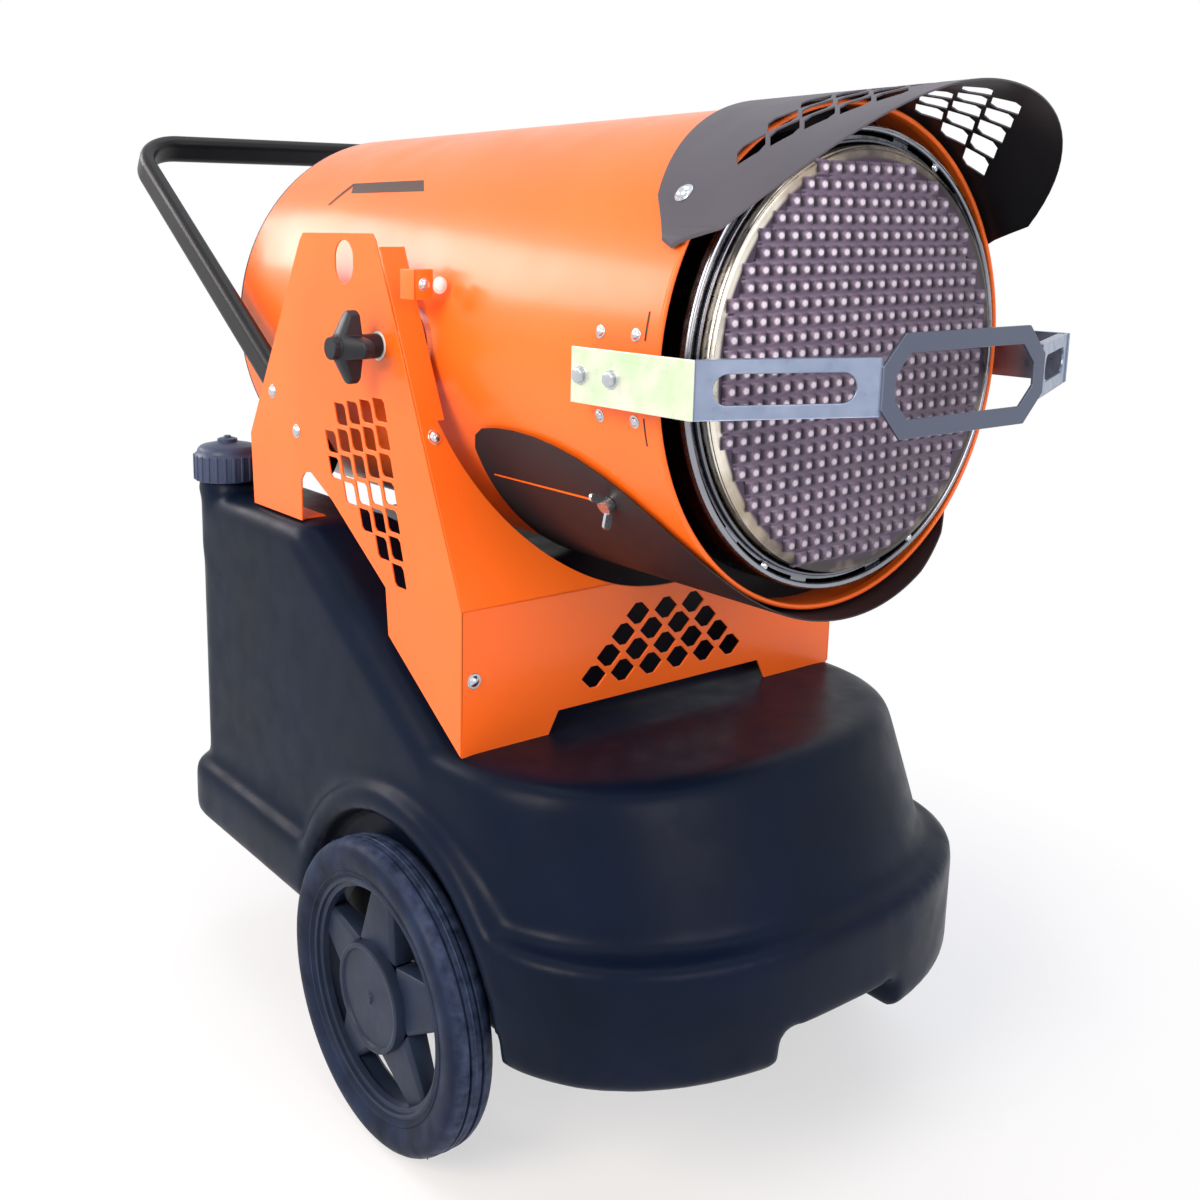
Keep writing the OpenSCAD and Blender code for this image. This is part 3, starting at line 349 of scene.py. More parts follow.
class Grain(Enum):
    """How a bare metal's surface was made."""

    PLATED = "plated"
    SPANGLED = "spangled"
    CAST = "cast"
    ROLLED = "rolled"


@dataclass(frozen=True)
class BareMetal:
    """Unpainted metal, whose grain follows from how its surface was made."""

    name: str
    colour: str
    shade: str
    roughness: float
    grain: Grain = Grain.ROLLED

    def pattern(self, recipe: Recipe) -> Socket:
        """Builds the grain.

        Args:
            recipe: the material in the making.

        Returns:
            The grain, from 0 to 1.
        """
        if self.grain is Grain.SPANGLED:
            # The zinc crystals of dipped sheet are about 9 mm across
            inputs = {"Vector": recipe.coords, "Scale": 1 / (9 * MM)}
            cells = add(recipe.tree, "ShaderNodeTexVoronoi", inputs)
            tone = add(recipe.tree, "ShaderNodeSeparateColor", {"Color": cells.outputs["Color"]}).outputs[0]
            cloud = recipe.uneven(60, 0, 0.6)
            inputs = {0: tone, 1: 0.4, 2: cloud}
            return add(recipe.tree, "ShaderNodeMath", inputs, operation="MULTIPLY_ADD").outputs[0]
        return recipe.uneven({Grain.CAST: 3, Grain.PLATED: 12, Grain.ROLLED: 22}[self.grain], 0, 1, 5)

    def material(self) -> bpy.types.Material:
        """Builds the metal.

        Returns:
            The material.
        """
        recipe = Recipe(self.name)
        pattern = self.pattern(recipe)
        depth_mm = 0.25 if self.grain is Grain.CAST else 0.02
        return recipe.close({
            "Base Color": recipe.between(pattern, self.colour, self.shade),
            "Metallic": 1.0,
            "Roughness": recipe.ramp(pattern, -self.roughness / 0.16, 1.0, self.roughness + 0.08),
            "Normal": recipe.relief(2.5, depth_mm, 2),
        })


@dataclass(frozen=True)
class PassivatedZinc:
    """Zinc-plated strip: bluish in front, with a painted darker reflection on its loop and a painted cream
    and faintly green reflection on its arms.
    """

    name: str
    face: str
    face_shade: str
    arm_painted_reflection: str
    arm_painted_reflection_tint: str
    arm_x: float
    loop_painted_reflection: str
    loop_x: float

    def material(self) -> bpy.types.Material:
        """Builds the plating, with its colours by the distance from the middle plane: painted reflections
        on the arms and the loop.

        Returns:
            The material.
        """
        recipe = Recipe(self.name)
        across = add(recipe.tree, "ShaderNodeSeparateXYZ", {"Vector": recipe.coords}).outputs["X"]
        out = add(recipe.tree, "ShaderNodeMath", {0: across}, operation="ABSOLUTE").outputs[0]
        # Painted reflections: cream and faint green on the arms, a darker colour on the loop
        on_arm = recipe.ramp(out, self.arm_x - 1.5 * MM, self.arm_x - 0.5 * MM)
        face = recipe.between(recipe.uneven(35, 0, 1), self.face, self.face_shade)
        face = recipe.between(recipe.ramp(out, self.loop_x + 1 * MM, self.loop_x - 1 * MM), face, self.loop_painted_reflection)
        arm_painted_reflection = recipe.between(recipe.uneven(28, 0, 1), self.arm_painted_reflection, self.arm_painted_reflection_tint)
        return recipe.close({
            "Base Color": recipe.between(on_arm, face, arm_painted_reflection),
            "Metallic": 0.85,
            "Roughness": recipe.uneven(10, 0.26, 0.42, 4),
            "Normal": recipe.relief(2.0, 0.02, 2),
        })


@dataclass(frozen=True)
class RadiallyTintedSteel:
    """Stainless sheet toned by the distance from a centre, with painted shade behind a depth or within a
    radius: heat tint on the ring, pale where it stayed cooler, then brown; a painted reflection on the pan,
    pale on its side towards the light.
    """

    name: str
    pale_tone: str
    middle_tone: str
    dark_tone: str
    painted_shade: str
    centre: Triple
    dark_radius: float
    pale_radius: float
    roughness: float
    # Painted shade: steel within this radius of the drum's axis, or behind this depth, gets the dark colour
    shaded_within: float = 0.0
    shaded_behind: float = 10.0

    def material(self) -> bpy.types.Material:
        """Builds the steel, with its tones by the distance from their centre and its painted shade.

        Returns:
            The material.
        """
        recipe = Recipe(self.name)
        near = recipe.ramp(recipe.radius(self.centre, ROUND_Y), self.dark_radius, self.pale_radius)
        blot = recipe.uneven(45, -0.28, 0.28, 4)
        tint = add(recipe.tree, "ShaderNodeMath", {0: near, 1: blot}, operation="ADD", use_clamp=True)
        darker_blend = recipe.between(recipe.ramp(tint.outputs[0], 0, 0.5), self.dark_tone, self.middle_tone)
        tinted = recipe.between(recipe.ramp(tint.outputs[0], 0.5, 1), darker_blend, self.pale_tone)
        # Painted shade on the ring's slots and on the pan's floor inside its rim
        depth = add(recipe.tree, "ShaderNodeSeparateXYZ", {"Vector": recipe.coords}).outputs["Y"]
        behind = recipe.ramp(depth, self.shaded_behind, self.shaded_behind + 2 * MM)
        out = recipe.radius(tuple(DRUM_AXIS), ROUND_Y)
        within = recipe.ramp(out, self.shaded_within + 1.5 * MM, self.shaded_within - 1.5 * MM)
        shaded = add(recipe.tree, "ShaderNodeMath", {0: behind, 1: within}, operation="MAXIMUM").outputs[0]
        return recipe.close({
            "Base Color": recipe.between(shaded, tinted, self.painted_shade),
            "Metallic": 1.0,
            "Roughness": recipe.uneven(9, self.roughness - 0.08, self.roughness + 0.1, 4),
            "Normal": recipe.relief(26, 0.3, 2),
        })


@dataclass(frozen=True)
class ScaledPlate:
    """Pressed steel with brown-violet scale, painted shade in the valleys between its dimples and painted
    highlights on their tips, with more painted shade and weaker highlights away from a lit corner.
    """

    name: str
    colour: str
    shade: str
    painted_shade: str
    tip: str
    lit_corner: Pair
    pitch_x: float
    pitch_z: float

    def cell(self, recipe: Recipe, along: object, pitch: float, shift: float) -> Socket:
        """Measures how far a point is from the middle of its cell.

        Args:
            recipe: the material in the making.
            along: the coordinate that is read.
            pitch: the distance between two dimples.
            shift: how far the grid is shifted along it.

        Returns:
            The distance as a part of the cell, from 0 to 0.5.
        """
        moved = add(recipe.tree, "ShaderNodeMath", {0: along, 1: 1 / pitch, 2: 100.5 - shift / pitch},
                    operation="MULTIPLY_ADD").outputs[0]
        part = add(recipe.tree, "ShaderNodeMath", {0: moved}, operation="FRACT").outputs[0]
        away = add(recipe.tree, "ShaderNodeMath", {0: part, 1: 0.5}, operation="SUBTRACT").outputs[0]
        return add(recipe.tree, "ShaderNodeMath", {0: away}, operation="ABSOLUTE").outputs[0]

    def material(self) -> bpy.types.Material:
        """Builds the steel, whose painted shade grows and whose painted tip highlights fade with the
        distance from its lit corner.

        Returns:
            The material.
        """
        recipe = Recipe(self.name)
        place = add(recipe.tree, "ShaderNodeSeparateXYZ", {"Vector": recipe.coords}).outputs
        across = self.cell(recipe, place["X"], self.pitch_x, 0.0)
        upright = self.cell(recipe, place["Z"], self.pitch_z, DRUM_AXIS.z)
        # Painted shade in the valleys between the dimples
        beside = {0: recipe.ramp(across, 0.24, 0.40), 1: recipe.ramp(upright, 0.42, 0.26)}
        painted_valley_shade = add(recipe.tree, "ShaderNodeMath", beside, operation="MULTIPLY").outputs[0]
        # Painted light: the plate darkens with the distance from the corner that the light falls on
        lit_x, lit_z = self.lit_corner
        away_from_light = recipe.ramp(recipe.radius((lit_x, 0.0, lit_z), ROUND_Y), 0.08, 0.40)
        # Painted highlight on each dimple's tip, strongest near the lit corner
        from_tip = add(recipe.tree, "ShaderNodeCombineXYZ", {"X": across, "Y": upright}).outputs[0]
        away = add(recipe.tree, "ShaderNodeVectorMath", {0: from_tip}, operation="LENGTH").outputs["Value"]
        tip_highlight = recipe.ramp(away, 0.25, 0.14)
        near_light = recipe.ramp(away_from_light, 1.25, -0.25)
        painted_tip_highlight = add(recipe.tree, "ShaderNodeMath", {0: tip_highlight, 1: near_light}, operation="MULTIPLY").outputs[0]
        scale = recipe.between(recipe.uneven(30, 0, 1, 4), self.colour, self.shade)
        scale = recipe.between(recipe.ramp(away_from_light, 0.0, 1.0, 0.55), scale, self.painted_shade)
        return recipe.close({
            "Base Color": recipe.between(painted_tip_highlight, recipe.between(painted_valley_shade, scale, self.painted_shade), self.tip),
            "Metallic": 0.5,
            "Roughness": recipe.uneven(7, 0.40, 0.55, 4),
            "Normal": recipe.relief(3, 0.06, 2),
        })


class Coating(Enum):
    """Every finish on the heater, by what it is made of."""

    ORANGE = PowderCoat("orange_powder_coat", "#ff7020", "#fb6819", 0.34, coat=0.25, coat_roughness=0.16,
                        specular=0.3)
    GRAPHITE = PowderCoat("graphite_heat_paint", "#55535c", "#4b4951", 0.44, peel_mm=4.0, specular=0.15)
    BLACK_COAT = PowderCoat("black_powder_coat", "#141519", "#0f1013", 0.36, specular=0.25)
    SOOT_COAT = PowderCoat("black_heat_paint", "#2c2226", "#241b1f", 0.50, peel_mm=4.0, specular=0.3)
    # Near-black on the bulkhead in the gap round the emitter: painted shade
    ENAMEL = PowderCoat("gap_painted_shade_black", "#14151f", "#0f1018", 0.40, peel_mm=4.0, specular=0.15)
    VINYL = PowderCoat("matt_vinyl_stripe", "#43302b", "#3a2824", 0.5)
    TANK = RotomouldedPolyethylene("rotomoulded_polyethylene", "#0b162a", "#091221", "#2c323c",
                                   roughness=0.36, floor=0.14, dust_height=0.10)
    ABS = MouldedPlastic("moulded_abs", "#1b1e26", "#15171d", 0.38)
    NYLON = MouldedPlastic("black_nylon", "#242f44", "#1c2536", 0.44, specular=0.2)
    WHITE_NYLON = MouldedPlastic("white_nylon", "#e4e0d8", "#d8d4cc", 0.4)
    CAP = MouldedPlastic("moulded_polypropylene", "#3c4763", "#333d57", 0.40)
    RED_ABS = MouldedPlastic("red_abs", "#b3160e", "#a0120b", 0.25)
    RUBBER = MouldedPlastic("seal_rubber", "#141414", "#1c1c1c", 0.65)
    CERAMIC = MouldedPlastic("glazed_ceramic", "#ece6d6", "#e2dac8", 0.15)
    LINES = MouldedPlastic("pad_printed_ink", "#d9dadb", "#cfd0d1", 0.5)
    ZINC = BareMetal("zinc_plated_steel", "#d5d8dc", "#bfc4cc", 0.22, Grain.PLATED)
    GALVANISED = BareMetal("galvanised_sheet", "#9aa2ac", "#b2b9c2", 0.38, Grain.SPANGLED)
    STAINLESS = BareMetal("stainless_sheet", "#b8b4b0", "#9c9896", 0.3)
    ALUMINIUM = BareMetal("cast_aluminium", "#a3a6aa", "#8f9296", 0.45, Grain.CAST)
    BRASS = BareMetal("turned_brass", "#c9a14e", "#b78f3f", 0.25)
    # The arm colours are a painted reflection, and the loop colour a painted darker reflection
    GUARD = PassivatedZinc("passivated_zinc_strip", "#8f9bb2", "#7b88a0", "#f4f0e2", "#d6f0c4",
                           arm_x=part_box("guard_strip")[1][0], loop_painted_reflection="#5f6678", loop_x=0.104)
    # Behind the ring's front its steel is near-black: painted shade in its slots
    RING = RadiallyTintedSteel("heat_tinted_ring", "#9a9da6", "#7d7f88", "#676972", "#101118",
                           tuple(DRUM_AXIS), dark_radius=0.180, pale_radius=0.196, roughness=0.26,
                           shaded_behind=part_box("slotted_ring")[0][1] + 4 * MM)
    # The pan's tones centre on its left edge: the pale cream is a painted reflection on the side towards
    # the light, darkening away from it
    PAN = RadiallyTintedSteel("pan_painted_reflection_and_shade", "#f6eee0", "#b3a493", "#4e494a", "#55495a",
                          (-0.19, DRUM_AXIS.y, DRUM_AXIS.z + 0.03), dark_radius=0.235,
                          pale_radius=0.09, roughness=0.30, shaded_within=0.1705)
    # Painted shade in the dark tone, and a painted highlight in the near-white of the dimples' tips
    PLATE = ScaledPlate("scaled_plate_painted_light", "#86768a", "#74657a", "#332d38", "#fff4ff",
                        (-0.14, DRUM_AXIS.z + 0.13), *DIMPLE_PITCH)
    TYRE = TyreRubber("cured_tyre_rubber", "#0c1320", "#1e2a44", "#4c5978", tuple(HUB),
                      tread_radius=0.156)

    def material(self) -> bpy.types.Material:
        """Looks the finish's material up, and makes it the first time.

        Returns:
            The material.
        """
        if self.value.name not in bpy.data.materials:
            self.value.material()
        return bpy.data.materials[self.value.name]

    def on(self, piece: bpy.types.Object) -> None:
        """Gives the finish to every material slot of a piece.

        Args:
            piece: the object to dress.
        """
        if not piece.material_slots:
            piece.data.materials.append(self.material())
        for place in piece.material_slots:
            place.material = self.material()


# Building


class Axis(Enum):
    """A direction that a turned shape's own Z axis is laid along."""

    X = Matrix.Rotation(QUARTER, 4, "Y")
    LEFT = Matrix.Rotation(-QUARTER, 4, "Y")
    Y = Matrix.Rotation(-QUARTER, 4, "X")
    FRONT = Matrix.Rotation(QUARTER, 4, "X")
    Z = Matrix.Identity(4)

    def at(self, centre: Vector) -> Matrix:
        """Returns the transform that also moves the shape's origin to a centre."""
        return Matrix.Translation(centre) @ self.value


def round_drum(angle: float, y: float, radius: float) -> Matrix:
    """Returns the transform that stands a shape on the drum, at a y from its front rim."""
    turn = Matrix.Rotation(math.radians(angle), 4, "Y")
    return Matrix.Translation((0, DRUM_FRONT + y, DRUM_AXIS.z)) @ turn @ Matrix.Translation((0, 0, radius))


def publish(
    shape: Shape,
    name: str,
    coating: Coating,
    body: str,
    replaces: tuple[str, ...] = (),
    sharp: float = 35.0,
) -> bpy.types.Object:
    """Turns a shape into a finished piece that rides on a body.

    Args:
        shape: the shape, which is freed.
        name: the piece's name.
        coating: its finish.
        body: the body that it moves with.
        replaces: the nodes that it stands for.
        sharp: the angle in degrees above which an edge stays sharp.

    Returns:
        The piece.
    """
    piece = helper(shape, name)
    piece.data.shade_smooth()
    piece.data.set_sharp_from_angle(angle=math.radians(sharp))
    coating.on(piece)
    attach(piece, body)
    if replaces:
        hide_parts(*replaces)
    LOG.info("%s: %d faces in %s", name, len(piece.data.polygons), coating.value.name)
    return piece


def helper(shape: Shape, name: str) -> bpy.types.Object:
    """Makes an object from a shape, with its faces turned outwards.

    Args:
        shape: the shape, which is freed.
        name: the object's name.

    Returns:
        The object.
    """
    bmesh.ops.recalc_face_normals(shape, faces=shape.faces)
    mesh = bpy.data.meshes.new(name)
    shape.to_mesh(mesh)
    shape.free()
    piece = bpy.data.objects.new(name, mesh)
    bpy.context.scene.collection.objects.link(piece)
    return piece


def baked(piece: bpy.types.Object) -> Shape:
    """Applies an object's modifiers and removes the object.

    Args:
        piece: the object.

    Returns:
        Its shape.
    """
    seen = piece.evaluated_get(bpy.context.evaluated_depsgraph_get())
    shape = bmesh.new()
    shape.from_mesh(seen.to_mesh())
    seen.to_mesh_clear()
    mesh = piece.data
    bpy.data.objects.remove(piece)
    bpy.data.meshes.remove(mesh)
    return shape


def join(shape: Shape, part: Shape) -> None:
    """Moves one shape's geometry into another.

    Args:
        shape: the shape that grows.
        part: the shape that is added and freed.
    """
    bmesh.ops.recalc_face_normals(part, faces=part.faces)
    mesh = bpy.data.meshes.new("part")
    part.to_mesh(mesh)
    part.free()
    shape.from_mesh(mesh)
    bpy.data.meshes.remove(mesh)


def turned(profile: Profile, place: Matrix, steps: int = 96) -> Shape:
    """Spins a closed profile once round, as a lathe does.

    Args:
        profile: points of (radius, distance along the axis).
        place: where the axis and the origin go.
        steps: how many steps the full turn has.

    Returns:
        The new shape.
    """
    shape = bmesh.new()
    points = [shape.verts.new((r, 0, a)) for r, a in profile]
    edges = [shape.edges.new(pair) for pair in zip(points, points[1:] + points[:1])]
    bmesh.ops.spin(
        shape, geom=points + edges, cent=(0, 0, 0), axis=(0, 0, 1), angle=FULL, steps=steps, use_merge=True)
    bmesh.ops.remove_doubles(shape, verts=shape.verts, dist=1e-6)
    bmesh.ops.recalc_face_normals(shape, faces=shape.faces)
    bmesh.ops.transform(shape, matrix=place, verts=shape.verts)
    return shape


def arc(centre: Pair, radius: float, start: float, end: float, count: int = 6) -> Profile:
    """Returns points along an arc, from its start to its end in degrees."""
    angles = [math.radians(start + (end - start) * i / (count - 1)) for i in range(count)]
    return [(centre[0] + radius * math.cos(a), centre[1] + radius * math.sin(a)) for a in angles]


def block(low: tuple, high: tuple, edge: float, place: Matrix | None = None) -> Shape:
    """Makes a box with rounded edges.

    Args:
        low: its lowest corner.
        high: its highest corner.
        edge: the radius of its edges.
        place: a transform of the finished box.

    Returns:
        The new shape.
    """
    shape = bmesh.new()
    low, high = Vector(low), Vector(high)
    size = Matrix.Translation((low + high) / 2) @ Matrix.Diagonal((*(high - low), 1.0))
    bmesh.ops.create_cube(shape, size=1.0, matrix=size)
    bevel_edges(shape, shape.edges[:], edge)
    bmesh.ops.transform(shape, matrix=place or Matrix.Identity(4), verts=shape.verts)
    return shape


def bevel_edges(shape: Shape, edges: list, width: float, segments: int = 3) -> None:
    """Rounds edges as far as a width reaches, with a number of faces across."""
    bmesh.ops.bevel(
        shape, geom=edges, offset=width, offset_type="OFFSET", segments=segments, profile=0.5,
        affect="EDGES", material=-1)


def hex_bolt(place: Matrix, head_r: float, head_h: float, washer_r: float) -> Shape:
    """Makes a hexagon bolt's head with its chamfer, on a washer.

    Args:
        place: where its seat goes, with Z outwards.
        head_r: the radius over the head's corners.
        head_h: the head's height.
        washer_r: the washer's radius.

    Returns:
        The new shape.
    """
    shape = bmesh.new()
    thick = 1.2 * MM
    rim = [(CORE, 0), (washer_r, 0), (washer_r, thick * 0.7), (washer_r - 0.3 * MM, thick), (CORE, thick)]
    join(shape, turned(rim, Matrix.Identity(4), 32))
    head = bmesh.new()
    bmesh.ops.create_cone(
        head, cap_ends=True, segments=6, radius1=head_r, radius2=head_r, depth=head_h,
        matrix=Matrix.Translation((0, 0, thick + head_h / 2)))
    upper = [e for e in head.edges if min(v.co.z for v in e.verts) > thick + head_h / 2]
    bevel_edges(head, upper, 0.7 * MM, 2)
    join(shape, head)
    bmesh.ops.transform(shape, matrix=place, verts=shape.verts)
    return shape


def dome(place: Matrix, radius: float, height: float, rim: float = 0.0) -> Shape:
    """Makes a domed screw or rivet head on a flat rim.

    Args:
        place: where its seat goes, with Z outwards.
        radius: the dome's radius.
        height: the dome's height.
        rim: how far the flat rim stands out round the dome.

    Returns:
        The new shape.
    """
    cap = [(radius * math.cos(a), 0.8 * MM + height * math.sin(a)) for a in (0.0, 0.3, 0.6, 0.9, 1.2, 1.45)]
    skirt = [(CORE, 0), (radius + rim, 0), (radius + rim, 0.5 * MM), (radius + rim * 0.6, 0.8 * MM)]
    return turned(skirt + cap + [(CORE, 0.8 * MM + height)], place, 28)


def domed_head(place: Matrix, washer: float, height: float, shank: float) -> Shape:
    """Makes a washer with a domed head on it and a shank below it, or the washer alone.

    Args:
        place: where its seat goes, with Z outwards.
        washer: the washer's radius.
        height: the dome's height, or 0 for a washer alone.
        shank: how far the shank reaches below the seat.

    Returns:
        The new shape.
    """
    thick, r = 1.0 * MM, washer * 0.76
    profile = [(CORE, 0), (washer, 0), (washer, thick - 0.3 * MM), (washer - 0.3 * MM, thick)]
    if height:
        profile = [(CORE, -shank), (2.4 * MM, -shank), (2.4 * MM, 0), *profile[1:]]
        profile += [(r * math.cos(a), thick + height * math.sin(a)) for a in (0.0, 0.35, 0.7, 1.0, 1.25)]
    return turned([*profile, (CORE, thick + height)], place, 32)


def merged_copy(node: str) -> Shape:
    """Copies a node's shape with its points merged and its plain faces fused.

    Args:
        node: the node.

    Returns:
        The copy.
    """
    shape = bmesh.new()
    shape.from_mesh(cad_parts[node].data)
    bmesh.ops.remove_doubles(shape, verts=shape.verts, dist=WELD)
    bmesh.ops.dissolve_limit(
        shape, angle_limit=math.radians(0.6), use_dissolve_boundaries=False,
        verts=shape.verts, edges=shape.edges)
    return shape


def eased_copy(node: str, coating: Coating, body: str, edge: float) -> bpy.types.Object:
    """Makes a merged copy of a node with its edges eased, as stamped and painted steel has them.

    Args:
        node: the node.
        coating: the copy's finish.
        body: the body that it moves with.
        edge: the width of the eased edge.

    Returns:
        The copy.
    """
    piece = publish(merged_copy(node), f"{node}_eased", coating, body, (node,), 28)
    ease = piece.modifiers.new("eased_edges", "BEVEL")
    ease.width = edge
    ease.segments = 2
    ease.limit_method = "ANGLE"
    ease.angle_limit = math.radians(40)
    ease.use_clamp_overlap = False
    ease.harden_normals = True
    return piece


# Sub-assemblies


@dataclass
class FuelTank:
    """The moulded tank, with its skirt, wheel arches, platform, high rear and filler neck."""

    corner: float = 0.050
    ledge: float = 0.018
    ledge_h: float = 0.120
    rear_ledge_h: float = 0.074
    deck_h: float = 0.252
    well: float = 0.178
    well_x: float = 0.259
    lip: float = 0.028
    trough: float = 0.258
    cheek: float = 0.130
    roundness: float = 2.35
    # The upright posts that round the rear, and where the slope starts and ends behind the axle
    post: float = 0.040
    slope_foot: float = -0.028
    slope_head: float = 0.228
    rear_inset: float = 0.052
    top_edge: float = 0.028
    rim: float = 0.009
    deck_edge: float = 0.024
    deck_half: float = 0.270
    deck_front: float = 0.256
    notch: float = 0.078
    notch_h: float = 0.037
    voxel: float = 0.0048
    soften: int = 16

    def __post_init__(self) -> None:
        """Reads the tank's outer box from the frame."""
        low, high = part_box("tank_body")
        self.half = high[0]
        self.floor = low[2]
        self.top = high[2]
        self.back = high[1] - HUB.y
        self.front = HUB.y - low[1]
        self.side = self.half - self.ledge
        self.deck = self.floor + self.deck_h
        self.ledge_z = self.floor + self.ledge_h
        self.rear_ledge_z = self.floor + self.rear_ledge_h

    def disc(self, shape: Shape, x: float, y: float, z: float, r: float) -> None:
        """Adds a level circle of points, whose y is its centre's distance behind the axle."""
        place = Matrix.Translation((x, y + HUB.y, z))
        bmesh.ops.create_circle(shape, cap_ends=False, radius=r, segments=48, matrix=place)

    def puck(self, shape: Shape, x: float, y: float, top: float, r: float, edge: float) -> None:
        """Adds the points of a disc with a rounded upper edge.

        Args:
            shape: the shape that gets them.
            x: its centre's X.
            y: its centre's distance behind the axle.
            top: its top's height.
            r: its radius.
            edge: the radius of its edge.
        """
        for i in range(8):
            a = QUARTER * i / 7
            z = top - edge + edge * math.sin(a)
            self.disc(shape, x, y, z, max(r - edge + edge * math.cos(a), 1 * MM))

    def bow(self, shape: Shape, half: float, front: float, start: float, z: float) -> None:
        """Adds a level outline that is rounded like a boat's bow at the front.

        Args:
            shape: the shape that gets it.
            half: half of its width.
            front: how far it reaches ahead of the axle.
            start: how far ahead of the axle the rounding starts.
            z: its height.
        """
        ring = bmesh.ops.create_circle(shape, cap_ends=False, radius=1.0, segments=112)["verts"]
        for v in ring:
            x, y = (math.copysign(abs(c) ** (2 / self.roundness), c) for c in v.co.xy)
            v.co = (half * x, HUB.y - start + min(y, 0) * (front - start), z)

    def wrapped(self, shape: Shape) -> Shape:
        """Wraps the points so far in one convex skin.

        Args:
            shape: a shape of points.

        Returns:
            The same shape, with only the skin left.
        """
        made = bmesh.ops.convex_hull(shape, input=shape.verts, use_existing_faces=False)
        inner = [v for v in made["geom_interior"] if isinstance(v, bmesh.types.BMVert)]
        bmesh.ops.delete(shape, geom=inner, context="VERTS")
        bmesh.ops.delete(shape, geom=[e for e in shape.edges if not e.link_faces], context="EDGES")
        return shape

    def skirt(self, top: float, last: float) -> Shape:
        """Builds the skirt up to a height, with its rounded rims.

        Args:
            top: its top's height.
            last: how far behind the axle it reaches.

        Returns:
            The skirt's shape.
        """
        shape = bmesh.new()
        rim = self.rim
        foot = ((self.floor, rim), (self.floor + rim, 0))
        for z, inset in (*foot, (top - rim, 0), (top - rim * 0.3, rim * 0.3), (top, rim)):
            self.bow(shape, self.half - inset, self.front - inset, self.cheek, z)
            for s in (-1, 1):
                self.disc(shape, s * (self.half - self.corner), last - self.corner, z, self.corner - inset)
        return self.wrapped(shape)

    def rear(self) -> Shape:
        """Builds the high rear with its slope.

        Returns:
            The rear's shape.
        """
        shape = bmesh.new()
        r, last, low = self.post, self.back - self.rear_inset, self.floor + 0.02
        for x in (r - self.side, self.side - r):
            for y in (last, self.slope_head):
                self.puck(shape, x, y, self.top, r, self.top_edge)
            self.puck(shape, x, self.slope_foot, self.deck, r, self.deck_edge)
            for y in (last, self.slope_foot):
                self.disc(shape, x, y, low, r)
        return self.wrapped(shape)

    def platform(self) -> Shape:
        """Builds the low front, whose sides lean in and bulge up to the platform's rounded edge.

        Returns:
            The front's shape.
        """
        shape = bmesh.new()
        edge, deck_half, deck_front = self.deck_edge, self.deck_half, self.deck_front
        low = self.ledge_z - 0.03
        steps = 6
        for i in range(steps + 1):
            t = i / steps
            z = low + (self.deck - edge - low) * t
            lean = t**1.25
            half = self.side + (deck_half - self.side) * lean
            front = self.front - self.ledge + (deck_front - self.front + self.ledge) * lean
            self.bow(shape, half, front, 0.06 + 0.05 * (1 - t), z)
        for i in range(1, 8):
            a = QUARTER * i / 7
            inset = edge * (1 - math.cos(a))
            z = self.deck - edge + edge * math.sin(a)
            self.bow(shape, deck_half - inset, deck_front - inset, 0.06, z)
        for s in (-1, 1):
            x = s * (self.side - self.post)
            self.puck(shape, x, self.slope_foot, self.deck, self.post, edge)
            self.disc(shape, x, self.slope_foot, low, self.post)
        return self.wrapped(shape)

    def arch(self, side: int) -> Shape:
        """Builds the flared lip over one wheel.

        Args:
            side: -1 for the left wheel, 1 for the right one.

        Returns:
            The lip's shape.
        """
        shape = bmesh.new()
        inner, outer = self.well - 0.004, self.well + self.lip
        corners = [(inner, self.well_x), (outer + 0.006, self.well_x), (outer, self.half - 0.006),
                   (outer - 0.006, self.half), (inner, self.half)]
        points = [shape.verts.new(HUB + Vector((side * x, 0, r))) for r, x in corners]
        face = shape.faces.new(points)
        reach = math.acos((self.rear_ledge_z - HUB.z) / outer)
        bmesh.ops.rotate(shape, verts=points, cent=HUB, matrix=Matrix.Rotation(-reach, 3, "X"))
        bmesh.ops.spin(shape, geom=[face], cent=HUB, axis=(1, 0, 0), angle=2 * reach, steps=56)
        return shape

    def neck(self) -> Shape:
        """Builds the filler neck with its flared foot and its bead.

        Returns:
            The neck's shape.
        """
        low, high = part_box("tank_gasket")
        r = (high[0] - low[0]) / 2
        z = low[2] - self.top
        profile = [(1 * MM, -0.08), (r, -0.08), (r, -0.008), (r + 0.004, 0.0), (r + 0.004, 0.003),
                   (r, 0.009), (r, z), (1 * MM, z)]
        seat = Vector((*middle("tank_gasket").xy, self.top))
        return turned(profile, Axis.Z.at(seat), 64)

    def cutters(self) -> list[bpy.types.Object]:
        """Makes what is cut from the tank: the wheel wells, the front notch and the drum's trough.

        Returns:
            The cutting objects.
        """
        made = []
        for s, axis in ((-1, Axis.LEFT), (1, Axis.X)):
            hole = [(CORE, self.well_x), (self.well, self.well_x), (self.well, 0.4), (CORE, 0.4)]
            made.append(helper(turned(hole, axis.at(Vector((0, HUB.y, HUB.z)))), "well_cutter"))
        far = (self.notch, HUB.y - 0.2, self.floor + self.notch_h)
        made.append(helper(block((-self.notch, HUB.y - 0.5, 0), far, 0.012), "notch_cutter"))
        belly = [(CORE, -0.1), (self.trough, -0.1), (self.trough, 0.7), (CORE, 0.7)]
        made.append(helper(turned(belly, Axis.Y.at(Vector((0, HUB.y, DRUM_AXIS.z))), 128), "trough_cutter"))
        return made

